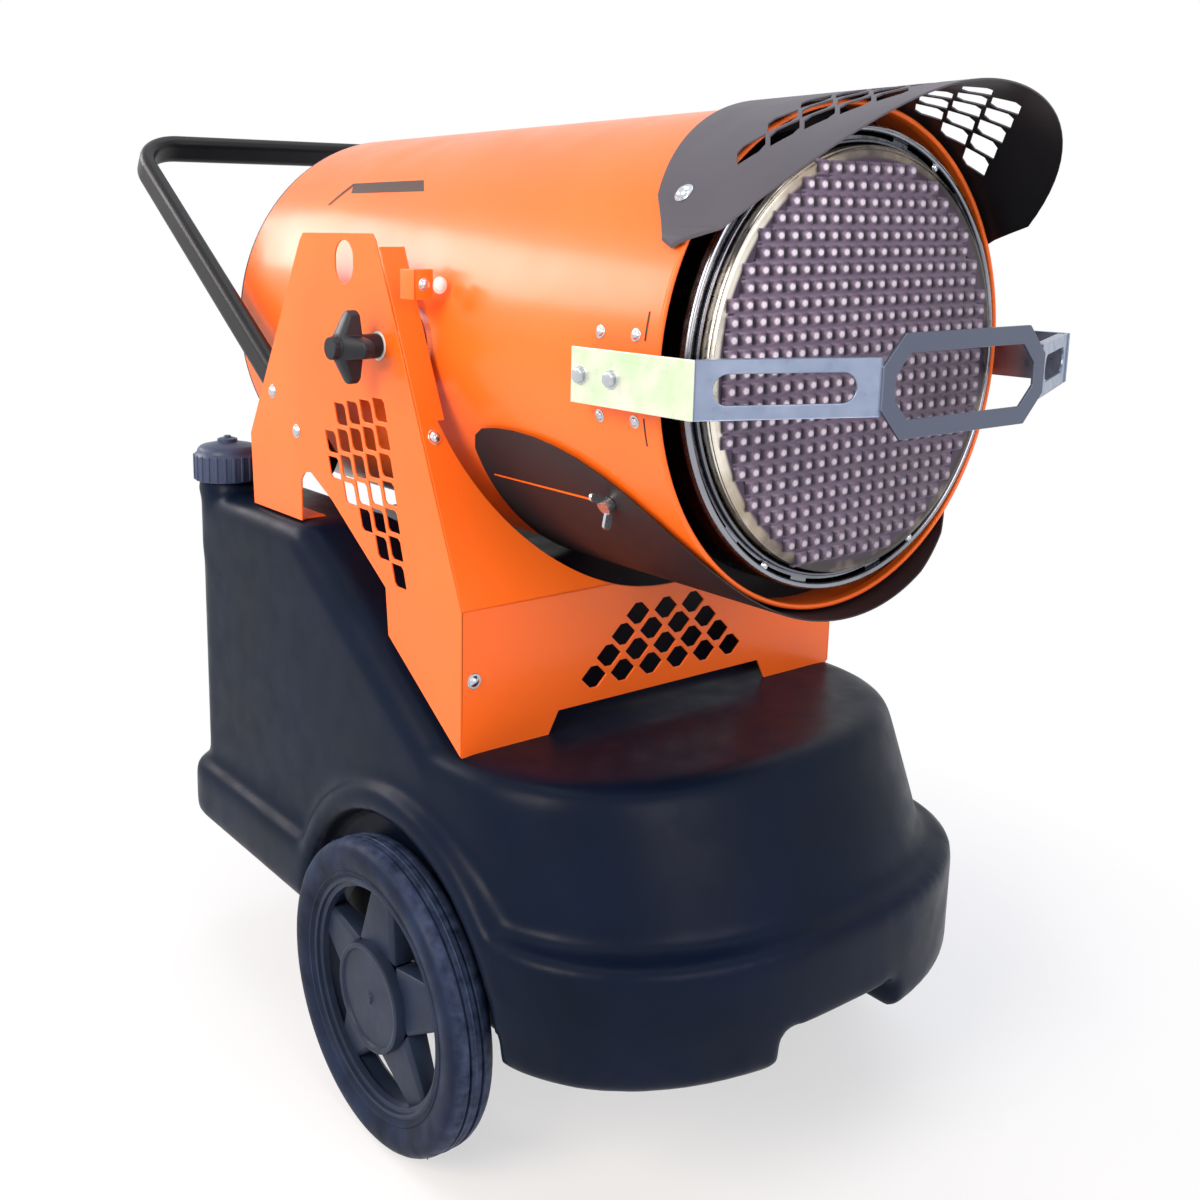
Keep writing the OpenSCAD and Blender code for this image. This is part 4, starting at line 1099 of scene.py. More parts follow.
    def build(self) -> None:
        """Joins the tank's forms, cuts its hollows and softens every edge."""
        whole = bmesh.new()
        for part in (self.skirt(self.rear_ledge_z, self.back), self.skirt(self.ledge_z, 0.150), self.rear(),
                     self.platform(), self.arch(-1), self.arch(1), self.neck()):
            join(whole, part)
        piece = helper(whole, "tank_work")
        cutters = self.cutters()
        self.remesh(piece)
        for cutter in cutters:
            cut = piece.modifiers.new("cut", "BOOLEAN")
            cut.operation = "DIFFERENCE"
            cut.object = cutter
            cut.solver = "EXACT"
        self.remesh(piece)
        soft = piece.modifiers.new("soften", "SMOOTH")
        soft.factor = 0.5
        soft.iterations = self.soften
        shape = baked(piece)
        for cutter in cutters:
            bpy.data.objects.remove(cutter)
        nodes = ("tank_body", "filler_neck")
        publish(shape, "moulded_tank", Coating.TANK, "base", nodes, 75)

    def remesh(self, piece: bpy.types.Object) -> None:
        """Adds one voxel remesh.

        Args:
            piece: the object that gets it.
        """
        fuse = piece.modifiers.new("fuse", "REMESH")
        fuse.mode = "VOXEL"
        fuse.voxel_size = self.voxel


@dataclass
class FillerCap:
    """The screw cap: a ribbed skirt, a domed crown with a rim, and a vent at its tip."""

    ribs: int = 24

    def build(self) -> None:
        """Builds the cap."""
        low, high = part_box("fuel_cap")
        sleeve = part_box("cap_grip")
        r = (sleeve[1][0] - sleeve[0][0]) / 2
        h = high[2] - low[2]
        foot = Axis.Z.at(Vector((middle("fuel_cap").x, middle("fuel_cap").y, low[2])))
        shape = turned([
            (r - 0.0076, 0), (r - 0.002, 0), (r - 0.0012, 0.001), (r - 0.0012, 0.030),
            (r - 0.004, 0.033), *arc((r - 0.014, 0.0325), 0.0095, 10, 70, 5), (0.0125, 0.0455),
            (0.0120, 0.0490), (0.0095, 0.0500), (0.0055, 0.0505), (0.0050, h - 0.0015), (0.0035, h),
            (CORE, h), (CORE, 0.038), (r - 0.0076, 0.030)], foot, 96)
        for i in range(self.ribs):
            turn = foot @ Matrix.Rotation(FULL * i / self.ribs, 4, "Z")
            join(shape, block((r - 0.0040, -0.0022, 0.001), (r, 0.0022, 0.031), 0.0011, turn))
        publish(shape, "ribbed_cap", Coating.CAP, "cap", ("fuel_cap", "cap_grip"), 40)


@dataclass
class RoadWheel:
    """One big wheel: a solid tyre on a moulded rim with five tapered spokes and a round hub cover."""

    side: int
    name: str
    tyre_h: float = 0.039
    hub_disc: float = 0.055
    spokes: int = 5
    # A spoke's setback from the tyre's face and its half width, at the hub and at the rim
    spoke_foot: Pair = (0.0135, 0.033)
    spoke_tip: Pair = (0.020, 0.0175)
    spoke_start: float = 0.046
    nubs: int = 14

    def __post_init__(self) -> None:
        """Reads the wheel's size and place from the frame."""
        low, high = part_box(f"tyre_{self.name}")
        self.radius = (high[2] - low[2]) / 2
        self.inner = self.radius - self.tyre_h
        self.half = (high[0] - low[0]) / 2
        self.centre = Vector(((low[0] + high[0]) / 2, HUB.y, HUB.z))
        self.place = (Axis.X if self.side > 0 else Axis.LEFT).at(self.centre)
        self.body = f"wheel_{self.name}"

    def tyre(self) -> None:
        """Builds the tyre: bead, bulging walls, tread grooves, the mould's parting line and nubs."""
        w, r0, r1 = self.half, self.inner, self.radius
        bulge = [(r1 - 0.0130 + 0.0126 * math.cos(a), w - 0.0148 + 0.0146 * math.sin(a))
                 for a in (0.12, 0.35, 0.6, 0.85, 1.1, 1.35)]
        half = [(r1, 0.0), (r1, 0.0004), (r1 - 0.0006, 0.0012), (r1 - 0.0006, 0.0052),
                (r1 - 0.0034, 0.0058), (r1 - 0.0034, 0.0080), (r1 - 0.0004, 0.0086), *bulge,
                (r1 - 0.0150, w), (r1 - 0.0205, w - 0.0004), (r1 - 0.0265, w - 0.0020),
                (r0 + 0.0080, w - 0.0042), (r0 + 0.0068, w - 0.0034),
                (r0 + 0.0048, w - 0.0034), (r0 + 0.0034, w - 0.0048), (r0 - 0.0005, w - 0.0078),
                (r0 + 0.0010, w - 0.0100)]
        shape = turned(half + [(r, -a) for r, a in reversed(half[1:])], self.place, 144)
        for i in range(self.nubs):
            turn = self.place @ Matrix.Rotation(FULL * (i + 0.35) / self.nubs, 4, "Z")
            seat = turn @ Matrix.Translation((r1 - 0.0008, 0, 0.010)) @ Matrix.Rotation(QUARTER, 4, "Y")
            join(shape, turned([(CORE, 0), (0.0009, 0), (0.0007, 0.0016), (CORE, 0.0016)], seat, 8))
        publish(shape, f"tread_tyre_{self.name}", Coating.TYRE, self.body,
                (f"tyre_{self.name}",), 28)

    def rim(self) -> None:
        """Builds the rim's stepped barrel, its hub and its spokes."""
        w, r0 = self.half, self.inner
        shape = turned([
            (r0 + 0.002, -w + 0.006), (r0 + 0.002, w - 0.007), (r0 - 0.0015, w - 0.0055),
            (r0 - 0.0040, w - 0.0065), (r0 - 0.0045, w - 0.010), (r0 - 0.0090, w - 0.0115),
            (r0 - 0.0100, w - 0.018), (r0 - 0.0065, w - 0.020), (r0 - 0.0065, -w + 0.010),
            (r0 - 0.003, -w + 0.006)], self.place, 128)
        join(shape, turned([
            (0.0101, -w - 0.002), (0.0255, -w - 0.002), (0.0260, w - 0.024), (0.0500, w - 0.021),
            (0.0520, w - 0.0125), (0.0101, w - 0.0125)], self.place, 64))
        for i in range(self.spokes):
            join(shape, self.spoke(FULL * i / self.spokes))
        publish(shape, f"moulded_rim_{self.name}", Coating.NYLON, self.body,
                (f"wheel_rim_{self.name}",), 30)

    def spoke(self, angle: float) -> Shape:
        """Makes one spoke that narrows towards the rim and has a raised face.

        Args:
            angle: its angle from upright.

        Returns:
            The spoke's shape.
        """
        w, r0 = self.half, self.inner
        shape = bmesh.new()
        for v in bmesh.ops.create_cube(shape, size=1.0)["verts"]:
            outer = v.co.z > 0
            setback, half = self.spoke_tip if outer else self.spoke_foot
            v.co = Vector((
                w - setback if v.co.x > 0 else -w + 0.012,
                half * math.copysign(1, v.co.y),
                r0 - 0.004 if outer else self.spoke_start,
            ))
        face = max(shape.faces, key=lambda f: f.calc_center_median().x)
        bmesh.ops.inset_region(shape, faces=[face], thickness=0.0045, depth=0.003, use_even_offset=True)
        bevel_edges(shape, shape.edges[:], 0.0012, 2)
        flip = Matrix.Diagonal((self.side, 1, 1, 1))
        place = Matrix.Translation(self.centre) @ Matrix.Rotation(angle, 4, "X") @ flip
        bmesh.ops.transform(shape, matrix=place, verts=shape.verts)
        return shape

    def cover(self) -> None:
        """Builds the round hub cover with its edge bead and its centre button."""
        w, r = self.half, self.hub_disc
        profile = [(CORE, w - 0.0008), (0.0055, w - 0.0010), (0.0068, w - 0.0030), (0.0130, w - 0.0036),
                   (r - 0.0075, w - 0.0030), (r - 0.0060, w - 0.0006), (r - 0.0030, w),
                   (r - 0.0006, w - 0.0010), (r, w - 0.0030), (r, w - 0.0120), (CORE, w - 0.0120)]
        publish(turned(profile, self.place), f"hub_cover_{self.name}", Coating.NYLON, self.body,
                (f"hub_disc_{self.name}",), 25)

    def build(self) -> None:
        """Builds the whole wheel."""
        self.tyre()
        self.rim()
        self.cover()


@dataclass
class Emitter:
    """The emitter's front: the dimpled plate, the pan's rolled rim, the ring's hems and its screws."""

    pitch_x: float = DIMPLE_PITCH[0]
    pitch_z: float = DIMPLE_PITCH[1]
    reach: float = 0.1775
    columns: int = 21
    rows: int = 25
    screws: int = 6
    # A screw's radius, its height and its rim
    screw: Triple = (0.0036, 0.0020, 0.0006)
    ring_hem: float = 0.0030
    ring_lip: float = 0.0017
    set_back: float = 0.0012
    depth: float = 0.0042
    # From a cell's edge to its dimple's tip: how far each step goes inwards and outwards
    dome_steps: tuple[Pair, ...] = (
        (0.0007, 0.0), (0.0016, 0.0023), (0.0014, 0.0013), (0.0013, 0.0006), (0.0008, 0.0001))

    def __post_init__(self) -> None:
        """Reads the places of the emitter's sheets from the frame."""
        self.plate_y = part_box("emitter_plate")[0][1]
        self.ring_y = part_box("slotted_ring")[0][1]
        self.ring_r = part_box("slotted_ring")[1][0]
        self.pan_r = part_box("emitter_pan")[1][0]
        self.pan_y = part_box("emitter_pan")[0][1]

    def inside(self, x: float, z: float) -> bool:
        """Tests whether a cell belongs to the stepped plate.

        Args:
            x: the cell's centre across.
            z: the cell's centre above the drum's axis.

        Returns:
            Whether it does.
        """
        row_edge = abs(z) + self.pitch_z / 2
        half = math.floor(math.sqrt(self.reach**2 - row_edge**2) / self.pitch_x + 0.5)
        return abs(x) < half * self.pitch_x

    def plate(self) -> None:
        """Presses a grid of dimples into the plate, whose finish paints a highlight on each tip."""
        shape = bmesh.new()
        size = Matrix.Diagonal((self.columns * self.pitch_x, self.rows * self.pitch_z, 1, 1))
        place = Axis.FRONT.at(Vector((0, self.plate_y + self.set_back, DRUM_AXIS.z))) @ size
        bmesh.ops.create_grid(shape, x_segments=self.columns, y_segments=self.rows, size=0.5, matrix=place)
        centres = {f: f.calc_center_median() for f in shape.faces}
        outside = [f for f, c in centres.items() if not self.inside(c.x, c.z - DRUM_AXIS.z)]
        bmesh.ops.delete(shape, geom=outside, context="FACES")
        cells = shape.faces[:]
        border = [e for e in shape.edges if e.is_boundary]
        back = bmesh.ops.extrude_edge_only(shape, edges=border)["geom"]
        behind = [v for v in back if isinstance(v, bmesh.types.BMVert)]
        bmesh.ops.translate(shape, verts=behind, vec=(0, self.depth, 0))
        for inwards, outwards in self.dome_steps:
            bmesh.ops.inset_individual(
                shape, faces=cells, thickness=inwards, depth=outwards, use_even_offset=True)
        publish(shape, "dimpled_plate", Coating.PLATE, "drum", ("emitter_plate",), 78)

    def rims(self) -> None:
        """Rolls the free edges of the ring and of the pan, and sets the ring's screws."""
        axis = Axis.Y.at(Vector((0, self.ring_y, DRUM_AXIS.z)))
        hem = self.ring_hem
        ring = turned(arc((self.ring_r - hem + 0.0005, 0.0), hem, 0, 330, 14), axis, 144)
        join(ring, turned(arc((self.ring_r - 0.0131, -0.0005), self.ring_lip, 0, 330, 10), axis, 144))
        publish(ring, "ring_hems", Coating.RING, "drum", (), 60)
        r = self.pan_r
        front = Axis.Y.at(Vector((0, self.pan_y, DRUM_AXIS.z)))
        pan = turned([
            (r - 0.0175, -0.0004), (r - 0.0100, -0.0009), *arc((r - 0.0040, 0.0036), 0.0046, 250, 360, 8),
            (r + 0.0006, 0.012), (r - 0.0012, 0.012), (r - 0.0014, 0.004), (r - 0.0100, 0.0008),
            (r - 0.0175, 0.001)], front, 144)
        publish(pan, "pan_rim", Coating.PAN, "drum", (), 60)
        heads = bmesh.new()
        for i in range(self.screws):
            turn = Matrix.Rotation(FULL * (i + 0.5) / self.screws, 4, "Y")
            outwards = Matrix.Translation((0, 0, self.ring_r - 0.0065))
            seat = Matrix.Translation((0, self.ring_y, DRUM_AXIS.z)) @ turn @ outwards
            join(heads, dome(seat @ Axis.FRONT.value, *self.screw))
        publish(heads, "ring_screws", Coating.ZINC, "drum", (), 40)

    def build(self) -> None:
        """Builds the emitter's pieces."""
        self.plate()
        self.rims()


@dataclass
class Drum:
    """The painted drum, with its front hem, plain stripe, slits, rivets and the deflector's seam."""

    hem: float = 0.0024
    wall: float = 0.0016
    seam_angle: float = 121.5
    slit_y: float = 0.015
    slits: tuple[Pair, ...] = ((77.0, 83.0), (99.0, 105.0))
    rivet_angles: Pair = (82, 100)
    rivet_places: Pair = (0.027, 0.069)
    # A rivet's radius, its height and its ring
    rivet: Triple = (0.0038, 0.0017, 0.0016)
    # The stripe's corners, as the angle and the place along the drum
    bar: tuple[Pair, ...] = ((43.1, 0.573), (47.2, 0.560), (47.3, 0.413), (43.0, 0.431))
    tail: tuple[Pair, ...] = ((43.1, 0.573), (44.4, 0.569), (51.8, 0.590), (51.4, 0.594))

    def shell(self) -> None:
        """Spins the drum's sheet with a rolled hem at its front."""
        r, length, t = DRUM_R, DRUM_BACK - DRUM_FRONT, self.wall
        profile = [*arc((r - self.hem, self.hem), self.hem, 0, -200, 9), (r - 2 * self.hem, 0.008),
                   (r - t, 0.011), (r - t, length - 0.001), (r, length - 0.001), (r, self.hem + 0.001)]
        place = Axis.Y.at(Vector((0, DRUM_FRONT, DRUM_AXIS.z)))
        shape = turned(profile, place, 256)
        publish(shape, "hemmed_drum", Coating.ORANGE, "drum", ("drum_shell",), 40)

    def patch(self, corners: Profile, lift: float, thick: float) -> Shape:
        """Makes a thin sheet that lies round the drum.

        Args:
            corners: the (angle, place along the drum) of its four corners, in order.
            lift: its height above the drum's sheet.
            thick: its thickness.

        Returns:
            The sheet's shape.
        """
        shape = bmesh.new()
        bmesh.ops.create_grid(shape, x_segments=10, y_segments=24, size=0.5)
        for v in shape.verts:
            u, w = v.co.x + 0.5, v.co.y + 0.5
            low = [a + (b - a) * u for a, b in zip(corners[0], corners[1])]
            high = [a + (b - a) * u for a, b in zip(corners[3], corners[2])]
            angle, y = (a + (b - a) * w for a, b in zip(low, high))
            v.co = round_drum(angle, y, DRUM_R + lift) @ Vector((0, 0, 0))
        bmesh.ops.recalc_face_normals(shape, faces=shape.faces)
        bmesh.ops.solidify(shape, geom=shape.faces[:], thickness=thick)
        return shape

    def marks(self) -> None:
        """Lays the plain tapered stripe and two dark slits by the guard's bracket on each side; the slits
        are dark patches, painted shade of openings.
        """
        stripe = bmesh.new()
        slits = bmesh.new()
        for s in (-1, 1):
            for corners in (self.bar, self.tail):
                join(stripe, self.patch([(s * a, y) for a, y in corners], 0.25 * MM, 0.2 * MM))
            # Painted shade: dark patches stand for the slits' openings
            for start, end in self.slits:
                y, far = self.slit_y, self.slit_y + 0.0016
                corners = [(s * start, y), (s * end, y), (s * end, far), (s * start, far)]
                join(slits, self.patch(corners, 0.2 * MM, 0.2 * MM))
        publish(stripe, "plain_stripe", Coating.VINYL, "drum")
        publish(slits, "rim_slits", Coating.SOOT_COAT, "drum")

    def seam(self) -> None:
        """Turns out the edge of the drum's sheet that shows through the deflector's slit."""
        shape = bmesh.new()
        lift = DRUM_AXIS.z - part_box("deflector")[0][2] - DRUM_R + 0.2 * MM
        for s in (-1, 1):
            a = s * self.seam_angle
            corners = [(a - 0.32, 0.088), (a + 0.32, 0.088), (a + 0.16, 0.246), (a - 0.16, 0.246)]
            join(shape, self.patch(corners, lift, 0.8 * MM))
        publish(shape, "deflector_seam", Coating.ORANGE, "drum")

    def rivets(self) -> None:
        """Sets bright rivets with a ring round each, above and below the guard's brackets."""
        shape = bmesh.new()
        for s in (-1, 1):
            for angle in self.rivet_angles:
                for y in self.rivet_places:
                    join(shape, dome(round_drum(s * angle, y, DRUM_R), *self.rivet))
        publish(shape, "ringed_rivets", Coating.ZINC, "drum", ("drum_rivets",), 40)

    def build(self) -> None:
        """Builds the drum's pieces."""
        self.shell()
        self.marks()
        self.seam()
        self.rivets()


@dataclass
class Guard:
    """The guard's eased strip, its painted brackets and its bolts on washers."""

    bolts: Pair = (0.028, 0.065)
    z: float = -0.003
    twist: float = 0.4
    # A bolt's head radius and height, and its washer's radius
    bolt: Triple = (0.0062, 0.0040, 0.0078)

    def build(self) -> None:
        """Builds the guard."""
        eased_copy("guard_strip", Coating.GUARD, "drum", 0.7 * MM)
        arm_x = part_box("guard_strip")[1][0]
        shape = bmesh.new()
        shape.from_mesh(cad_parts["guard_brackets"].data)
        bmesh.ops.remove_doubles(shape, verts=shape.verts, dist=WELD)
        # The channels end just inside the strip's arms
        for s in (-1, 1):
            cut = bmesh.ops.bisect_plane(
                shape, geom=shape.verts[:] + shape.edges[:] + shape.faces[:], dist=1e-6,
                plane_co=(s * (arm_x - 1 * MM), 0, 0), plane_no=(s, 0, 0), clear_outer=True)["geom_cut"]
            bmesh.ops.holes_fill(shape, edges=[e for e in cut if isinstance(e, bmesh.types.BMEdge)])
        publish(shape, "guard_channels", Coating.ORANGE, "drum", ("guard_brackets",), 30)
        heads = bmesh.new()
        for s, axis in ((-1, Axis.LEFT), (1, Axis.X)):
            for y in self.bolts:
                seat = axis.at(Vector((s * arm_x, DRUM_FRONT + y, DRUM_AXIS.z + self.z)))
                join(heads, hex_bolt(seat @ Matrix.Rotation(self.twist, 4, "Z"), *self.bolt))
        publish(heads, "guard_bolts", Coating.ZINC, "drum", ("guard_brackets",), 30)


@dataclass
class Stand:
    """The folded stand, with eased edges, its fasteners and the small tab on each slanted strip."""

    tab_x: float = 0.235
    tab_y: float = 0.010
    tab_z: float = 0.852
    tab_half: float = 0.014
    # The tab's flat and its folded edge: from where to where across, and how deep
    tab_sheets: tuple[Triple, ...] = ((-0.004, 0.017, 0.002), (0.015, 0.0172, 0.024))
    # The radius, the height and the rim of the tab's screw and of the plug
    tab_screw: Triple = (0.0048, 0.0026, 0.0014)
    plug: Triple = (0.0068, 0.0040, 0.0012)
    screw_x: float = 0.241
    screw_z: float = 0.492
    # The slanted strip's screw and the handle's bolts, as Y and Z
    horn: Pair = (-0.16234, 0.712)
    lean: float = math.radians(23.36)
    bolts: tuple[Pair, ...] = ((0.08321, 0.68767), (0.138, 0.725))
    washer: float = 7.6 * MM
    bolt_dome: float = 3.2 * MM
    bolt_shank: float = 20 * MM

    def heads(self) -> None:
        """Sets a washer under each stand screw, and domed heads in place of the handle's bolts."""
        low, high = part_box("side_panel_right")
        washers, bolts = bmesh.new(), bmesh.new()
        for s, axis in ((-1, Axis.LEFT), (1, Axis.X)):
            x = s * self.screw_x
            horn = Matrix.Translation((x, *self.horn)) @ Matrix.Rotation(QUARTER - self.lean, 4, "X")
            for seat in (horn, Axis.FRONT.at(Vector((x, low.y, self.screw_z)))):
                join(washers, domed_head(seat, self.washer, 0.0, 0.0))
            for y, z in self.bolts:
                seat = axis.at(Vector((s * high.x, y, z)))
                join(bolts, domed_head(seat, self.washer, self.bolt_dome, self.bolt_shank))
        publish(washers, "stand_washers", Coating.ZINC, "base", (), 40)
        publish(bolts, "handle_bolt_heads", Coating.ZINC, "base", ("handle_bolts",), 40)

    def tabs(self) -> None:
        """Builds a folded tab with a domed screw and a pale plug inside each slanted strip's top."""
        tabs, plugs, screws = bmesh.new(), bmesh.new(), bmesh.new()
        for s in (-1, 1):
            x, y, z = s * self.tab_x, HUB.y + self.tab_y, self.tab_z
            for inner, outer, deep in self.tab_sheets:
                low, high = sorted((x + s * inner, x + s * outer))
                join(tabs, block((low, y, z - self.tab_half), (high, y + deep, z + self.tab_half), 0.0006))
            join(screws, dome(Axis.FRONT.at(Vector((x + s * 0.006, y, z))), *self.tab_screw))
            beside = Vector((x - s * 0.012, y + 0.001, z - 0.001))
            join(plugs, dome(Axis.FRONT.at(beside), *self.plug))
        publish(tabs, "strip_tabs", Coating.ORANGE, "base")
        publish(screws, "tab_screws", Coating.ZINC, "base")
        publish(plugs, "pale_plugs", Coating.WHITE_NYLON, "base")

    def build(self) -> None:
        """Builds the stand."""
        for node in ("side_panel_left", "side_panel_right", "front_panel"):
            eased_copy(node, Coating.ORANGE, "base", 0.6 * MM)
        eased_copy("stand_screws", Coating.ZINC, "base", 0.4 * MM)
        self.tabs()
        self.heads()


@dataclass
class Shields:
    """The hood, painted black inside as painted shade, with its two domed bolts, and the lower deflector.
    """

    bolt_angle: float = 51.5
    bolt_y: float = -0.412
    bolt_seat: float = 0.2236
    # A bolt's washer radius, its dome's height and its shank
    bolt: Triple = (8.4 * MM, 3.8 * MM, 7 * MM)

    def build(self) -> None:
        """Builds the bolts' heads and the two eased sheets."""
        heads = bmesh.new()
        for s in (-1, 1):
            seat = round_drum(s * self.bolt_angle, self.bolt_y - DRUM_FRONT, self.bolt_seat)
            join(heads, domed_head(seat, *self.bolt))
        publish(heads, "hood_bolt_heads", Coating.ZINC, "drum", ("hood_bolts",), 40)
        hood = eased_copy("hood", Coating.GRAPHITE, "drum", 0.5 * MM)
        # Painted shade: the hood's inner faces get black paint
        hood.data.materials.append(Coating.BLACK_COAT.material())
        for face in hood.data.polygons:
            out = face.center - DRUM_AXIS
            if face.normal.x * out.x + face.normal.z * out.z < -0.3 * math.hypot(out.x, out.z):
                face.material_index = 1
        eased_copy("deflector", Coating.SOOT_COAT, "drum", 0.5 * MM)


@dataclass
class Controls:
    """The rear panel's print: a scale round the heat knob, the switch's marks, and a pilot lamp."""

    ticks: int = 11
    sweep: float = 270.0
    scale_r: float = 0.0205
    mark: float = 0.0005
    ink: float = 0.0003
    lamp_drop: float = 0.034

    def build(self) -> None:
        """Builds the marks and the lamp."""
        knob = middle("heat_knob")
        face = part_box("control_box")[1][1]
        lines = bmesh.new()
        for i in range(self.ticks):
            turn = Matrix.Rotation(math.radians(self.sweep * (i / (self.ticks - 1) - 0.5)), 4, "Y")
            long = 0.005 if i % 5 == 0 else 0.003
            place = Matrix.Translation((knob.x, face, knob.z)) @ turn
            far = (self.mark, self.ink, self.scale_r + long)
            join(lines, block((-self.mark, 0, self.scale_r), far, 0.0001, place))
        switch = middle("power_switch")
        x, z = switch.x, switch.z
        far = (x + self.mark, face + self.ink, z + 0.020)
        join(lines, block((x - self.mark, face, z + 0.015), far, 0.0001))
        ring = turned([(0.0018, 0), (0.0026, 0), (0.0026, self.ink), (0.0018, self.ink)],
                      Axis.Y.at(Vector((x, face, z - 0.0175))), 24)
        join(lines, ring)
        publish(lines, "printed_marks", Coating.LINES, "drum")
        lamp = Vector((x, face, knob.z - self.lamp_drop))
        bezel = turned([(CORE, 0), (0.0070, 0), (0.0070, 0.0015), (0.0062, 0.0026), (0.0046, 0.0026),
                        (0.0044, 0.0016), (CORE, 0.0016)], Axis.Y.at(lamp), 40)
        publish(bezel, "lamp_bezel", Coating.ZINC, "drum", (), 30)
        lens = dome(Axis.Y.at(lamp + Vector((0, 0.0012, 0))), 0.0042, 0.0026)
        publish(lens, "pilot_lamp", Coating.RED_ABS, "drum")


# Nodes that keep their own shape, by finish
PLAIN = {
    Coating.BLACK_COAT: ("handle_tube", "axle_saddles"),
    Coating.GRAPHITE: ("rear_cover", "motor_cradle"),
    # The bulkhead in the gap is near-black: painted shade
    Coating.ENAMEL: ("front_bulkhead",),
    Coating.ABS: ("inlet_gland", "transformer"),
    Coating.WHITE_NYLON: ("pivot_bushes",),
    Coating.RED_ABS: ("power_switch",),
    Coating.RUBBER: ("tank_gasket",),
    Coating.TYRE: ("castor_wheel",),
    Coating.ZINC: ("axle", "axle_washers", "castor_plate", "castor_fork", "castor_pin", "latch_left",
                   "latch_right", "pivot_studs", "motor_shaft"),
    Coating.GALVANISED: ("burner_tray",),
    Coating.STAINLESS: ("rear_bulkhead", "combustion_chamber", "blast_tube", "flame_disc"),
    Coating.ALUMINIUM: ("fan_housing", "fan_impeller", "fan_motor", "fuel_pump"),
    Coating.BRASS: ("fuel_nozzle",),
    Coating.RING: ("slotted_ring",),
    Coating.PAN: ("emitter_pan",),
    Coating.CERAMIC: ("electrodes",),
}


